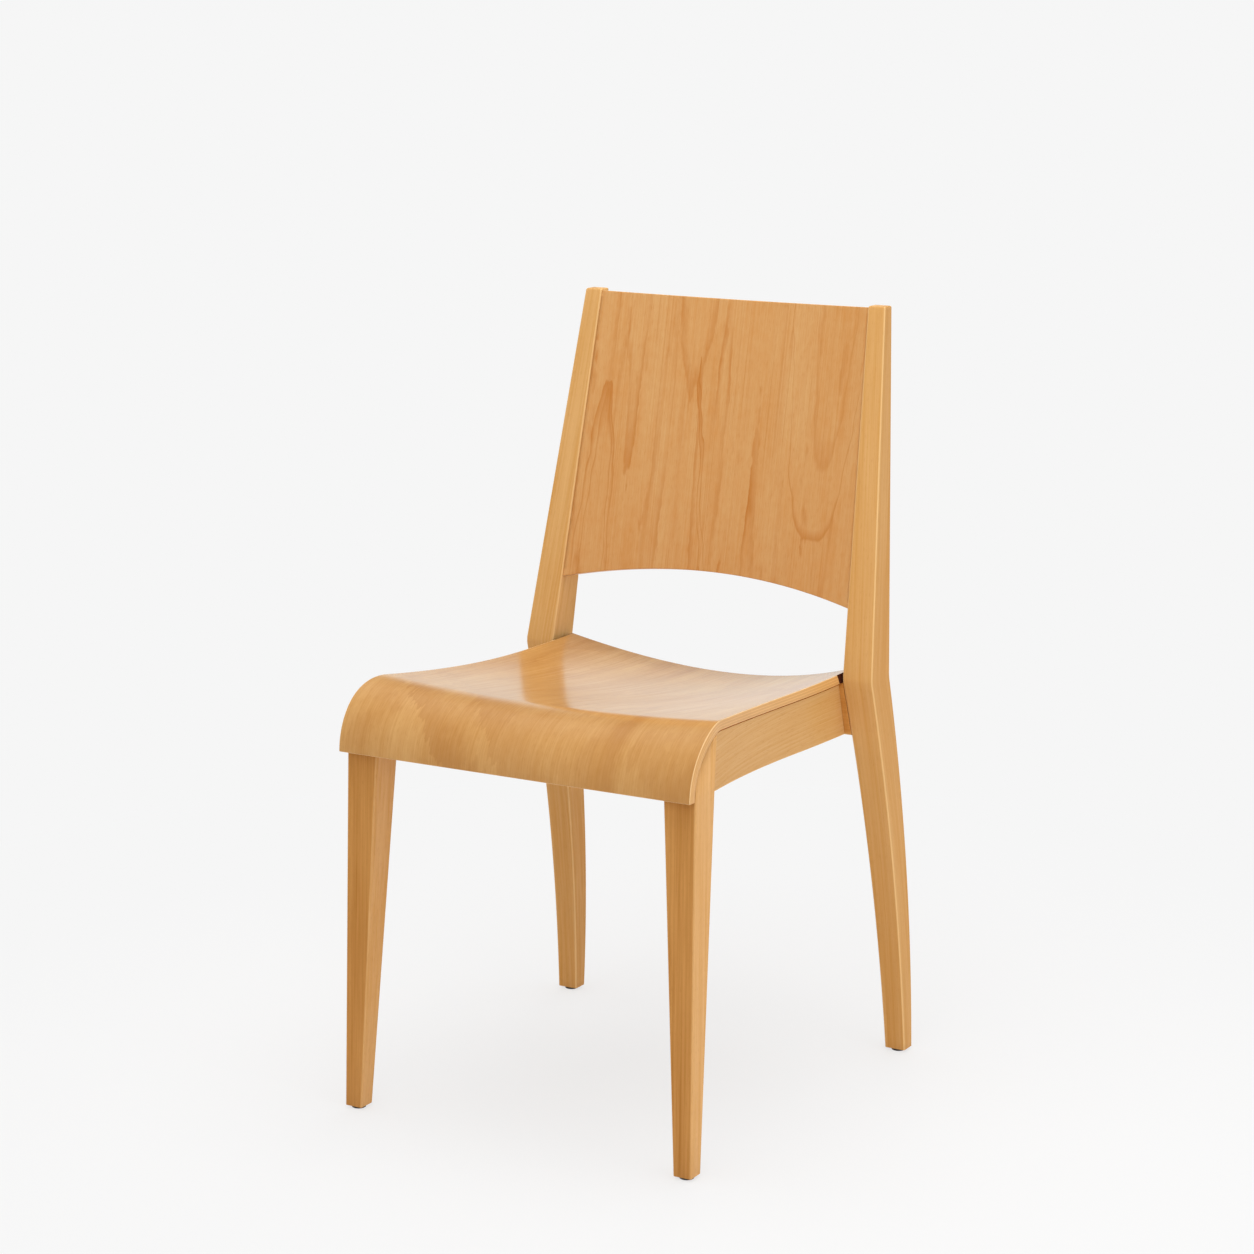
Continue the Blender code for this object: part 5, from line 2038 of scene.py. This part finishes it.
@dataclass
class Studio:
    """A pale floor in a white surround, soft lamps, and the camera."""

    surround: str = "#F6F6F6"
    floor_colour: str = "#EBEBEB"
    floor_half: float = 14.0
    glow: float = 0.74  # share of the surround's own colour in the floor near the chair
    fade_from: float = 0.55  # distance from the chair at which the floor starts to fade
    fade_to: float = 1.3
    floor_turn: Pair = (-0.4, -1.1)  # y between which the reflected floor gets dark
    world_turn: Pair = (0.3, -0.3)  # and the same for a direction's y in the world
    world_strength: float = 0.62
    room: str = "#757575"  # the far side of the room, which only shows in reflections
    cast: Triple = (0.95, 1.0, 0.97)  # of the room's walls, as reflections show them
    upper_room: tuple[Pair, ...] = ((0.30, 0.92), (0.48, 0.18), (0.66, 0.18), (0.80, 0.60))
    lamps: tuple[Softbox, ...] = (
        Softbox("overhead_softbox", (0.2, -0.3, 3.0), 2.6, 53.0),
        Softbox("front_softbox", (1.0, -2.6, 2.0), 1.6, 12.5),
        Softbox("right_softbox", (1.4, -0.15, 0.50), 1.0, 3.2),
        Softbox("rear_softbox", (-0.6, 2.8, 1.3), 1.6, 13.0),
    )
    target: Triple = (0.0, 0.0, 0.45)  # what the lamps face
    camera_place: Triple = (1.7217, -2.9642, 1.2322)
    azimuth: float = 30.219
    elevation: float = 11.860
    roll: float = 0.2008
    focal_pixels: float = 3232.58
    sensor: float = 36.0

    def build(self) -> None:
        """Sets up everything around the chair."""
        bpy.context.scene.view_settings.view_transform = "Standard"
        self.light_world()
        self.lay_floor()
        for lamp in self.lamps:
            lamp.hang(Vector(self.target))
        self.place_camera()

    def light_world(self) -> None:
        """A white world, whose side behind the viewer looks darker in reflections."""
        world = bpy.data.worlds.new("white_surround")
        bpy.context.scene.world = world
        world.use_nodes = True
        tree = world.node_tree
        tree.nodes.clear()
        node = partial(add_node, tree)
        way = node("ShaderNodeSeparateXYZ", {0: node("ShaderNodeTexCoord").outputs["Generated"]})
        light = node("ShaderNodeBackground", {"Color": (1.0, 1.0, 1.0, 1.0), "Strength": self.world_strength})
        above = node("ShaderNodeValToRGB", {0: way.outputs[2]})
        stops = above.color_ramp.elements
        while len(stops) < len(self.upper_room):
            stops.new(1.0)
        for stop, (height, grey) in zip(stops, self.upper_room):
            stop.position = height
            stop.color = (*(grey * share for share in self.cast), 1.0)
        shown = self.reflected(node, way.outputs[1], self.world_turn, above)
        pale = node("ShaderNodeBackground", {"Color": shown, "Strength": 1.0})
        both = node("ShaderNodeMixShader", {0: self.seen(node), 1: light, 2: pale})
        node("ShaderNodeOutputWorld", {"Surface": both})

    def seen(self, node: AddNode) -> Node:
        """Adds nodes that give 1 to rays that show things: from the camera, by reflection or through glass.

        Args:
            node: Adds a node to the tree.

        Returns:
            The node that gives it.
        """
        path = node("ShaderNodeLightPath").outputs
        sharp = {0: path["Is Camera Ray"], 1: path["Is Glossy Ray"]}
        sharp = node("ShaderNodeMath", sharp, operation="MAXIMUM")
        return node("ShaderNodeMath", {0: sharp, 1: path["Is Transmission Ray"]}, operation="MAXIMUM")

    def reflected(self, node: AddNode, place: Source, turn: Pair, behind: Source | None = None) -> Socket:
        """Adds nodes for the surround's colour, which reflections see darken towards the front of the room.

        Args:
            node: Adds a node to the tree.
            place: Place or direction along y.
            turn: Its values where the surround starts to darken, and where only the room is left.
            behind: Gives the colour that reflections see behind the chair, if it isn't the surround's.

        Returns:
            The colour.
        """
        ahead = node("ShaderNodeMapRange", {0: place, 1: turn[0], 2: turn[1]})
        sides = lay_colours(node, behind or self.surround, [(ahead, self.room)])
        glossy = node("ShaderNodeLightPath").outputs["Is Glossy Ray"]
        return lay_colours(node, self.surround, [(glossy, sides)])

    def lay_floor(self) -> None:
        """A floor that takes the chair's shadow, and fades into the surround."""
        half = self.floor_half
        corners = [(-half, -half, 0), (half, -half, 0), (half, half, 0), (-half, half, 0)]
        mesh = bpy.data.meshes.new("floor")
        mesh.from_pydata(corners, [], [[0, 1, 2, 3]])
        floor = bpy.data.objects.new("floor", mesh)
        bpy.context.scene.collection.objects.link(floor)
        material, _, node = start_material("pale_floor")
        material.node_tree.nodes.clear()
        spot = node("ShaderNodeTexCoord").outputs["Object"]
        away = node("ShaderNodeVectorMath", {0: spot}, operation="LENGTH").outputs["Value"]
        inputs = {0: away, 1: self.fade_from, 2: self.fade_to, 3: self.glow, 4: 1.0}
        fade = node("ShaderNodeMapRange", inputs, interpolation_type="SMOOTHSTEP")
        share = node("ShaderNodeMath", {0: self.seen(node), 1: fade}, operation="MULTIPLY")
        matt = node("ShaderNodeBsdfDiffuse", {"Color": linear_colour(self.floor_colour)})
        place = node("ShaderNodeSeparateXYZ", {0: spot}).outputs[1]
        shown = self.reflected(node, place, self.floor_turn)
        pale = node("ShaderNodeEmission", {"Color": shown, "Strength": 1.0})
        both = node("ShaderNodeMixShader", {0: share, 1: matt, 2: pale})
        node("ShaderNodeOutputMaterial", {"Surface": both})
        mesh.materials.append(material)

    def place_camera(self) -> None:
        """The camera, where the photograph was taken from."""
        azimuth, elevation, roll = (math.radians(v) for v in (self.azimuth, self.elevation, self.roll))
        flat = math.cos(elevation)
        back = Vector((math.sin(azimuth) * flat, -math.cos(azimuth) * flat, math.sin(elevation)))
        right = (-back).cross(Vector((0, 0, 1))).normalized()
        up = right.cross(-back)
        across = right * math.cos(roll) + up * math.sin(roll)
        upward = up * math.cos(roll) - right * math.sin(roll)
        lens = bpy.data.cameras.new("camera")
        lens.sensor_width = self.sensor
        lens.lens = self.sensor * self.focal_pixels / IMAGE_SIZE
        camera = bpy.data.objects.new("camera", lens)
        turn = Matrix((across, upward, back)).transposed().to_4x4()
        camera.matrix_world = Matrix.Translation(self.camera_place) @ turn
        bpy.context.scene.collection.objects.link(camera)
        bpy.context.scene.camera = camera


def main() -> None:
    """Builds the chair's pieces in order around the frame, and the studio."""
    logging.basicConfig(level=logging.INFO, format="%(name)s: %(message)s")
    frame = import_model()

    seat = SeatShell()
    rear_legs = RearLegs()
    front_legs = FrontLegs(seat)
    rails = Rails(seat, front_legs, rear_legs)
    panel = BackPanel(rear_legs)
    fixings = Fixings()
    shop = Workshop(frame, shift=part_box("seat_shell")[0][1] - seat.front)

    cross_wood = CROSS_WOOD.build()
    ply_edge = PlywoodEdge("beech_plywood_edge", seat.thickness / seat.plies).build()
    steel = ZincPlatedSteel().build()
    rear_legs.build(shop, REAR_WOOD.build())
    front_legs.build(shop, FRONT_WOOD.build())
    rails.build(shop, SIDE_WOOD.build(), cross_wood)
    seat.build(shop, [SEAT_VENEER.build(), ply_edge, SawKerf().build()])
    panel.build(shop, BACK_VENEER.build(), ply_edge)
    fixings.build_screws(shop, steel)
    fixings.build_glides(shop, GlidePlastic().build(), steel)
    HiddenFrame().dress(shop, cross_wood, BARE_WOOD.build())
    Studio().build()

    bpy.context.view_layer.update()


if __name__ == "__main__":
    main()
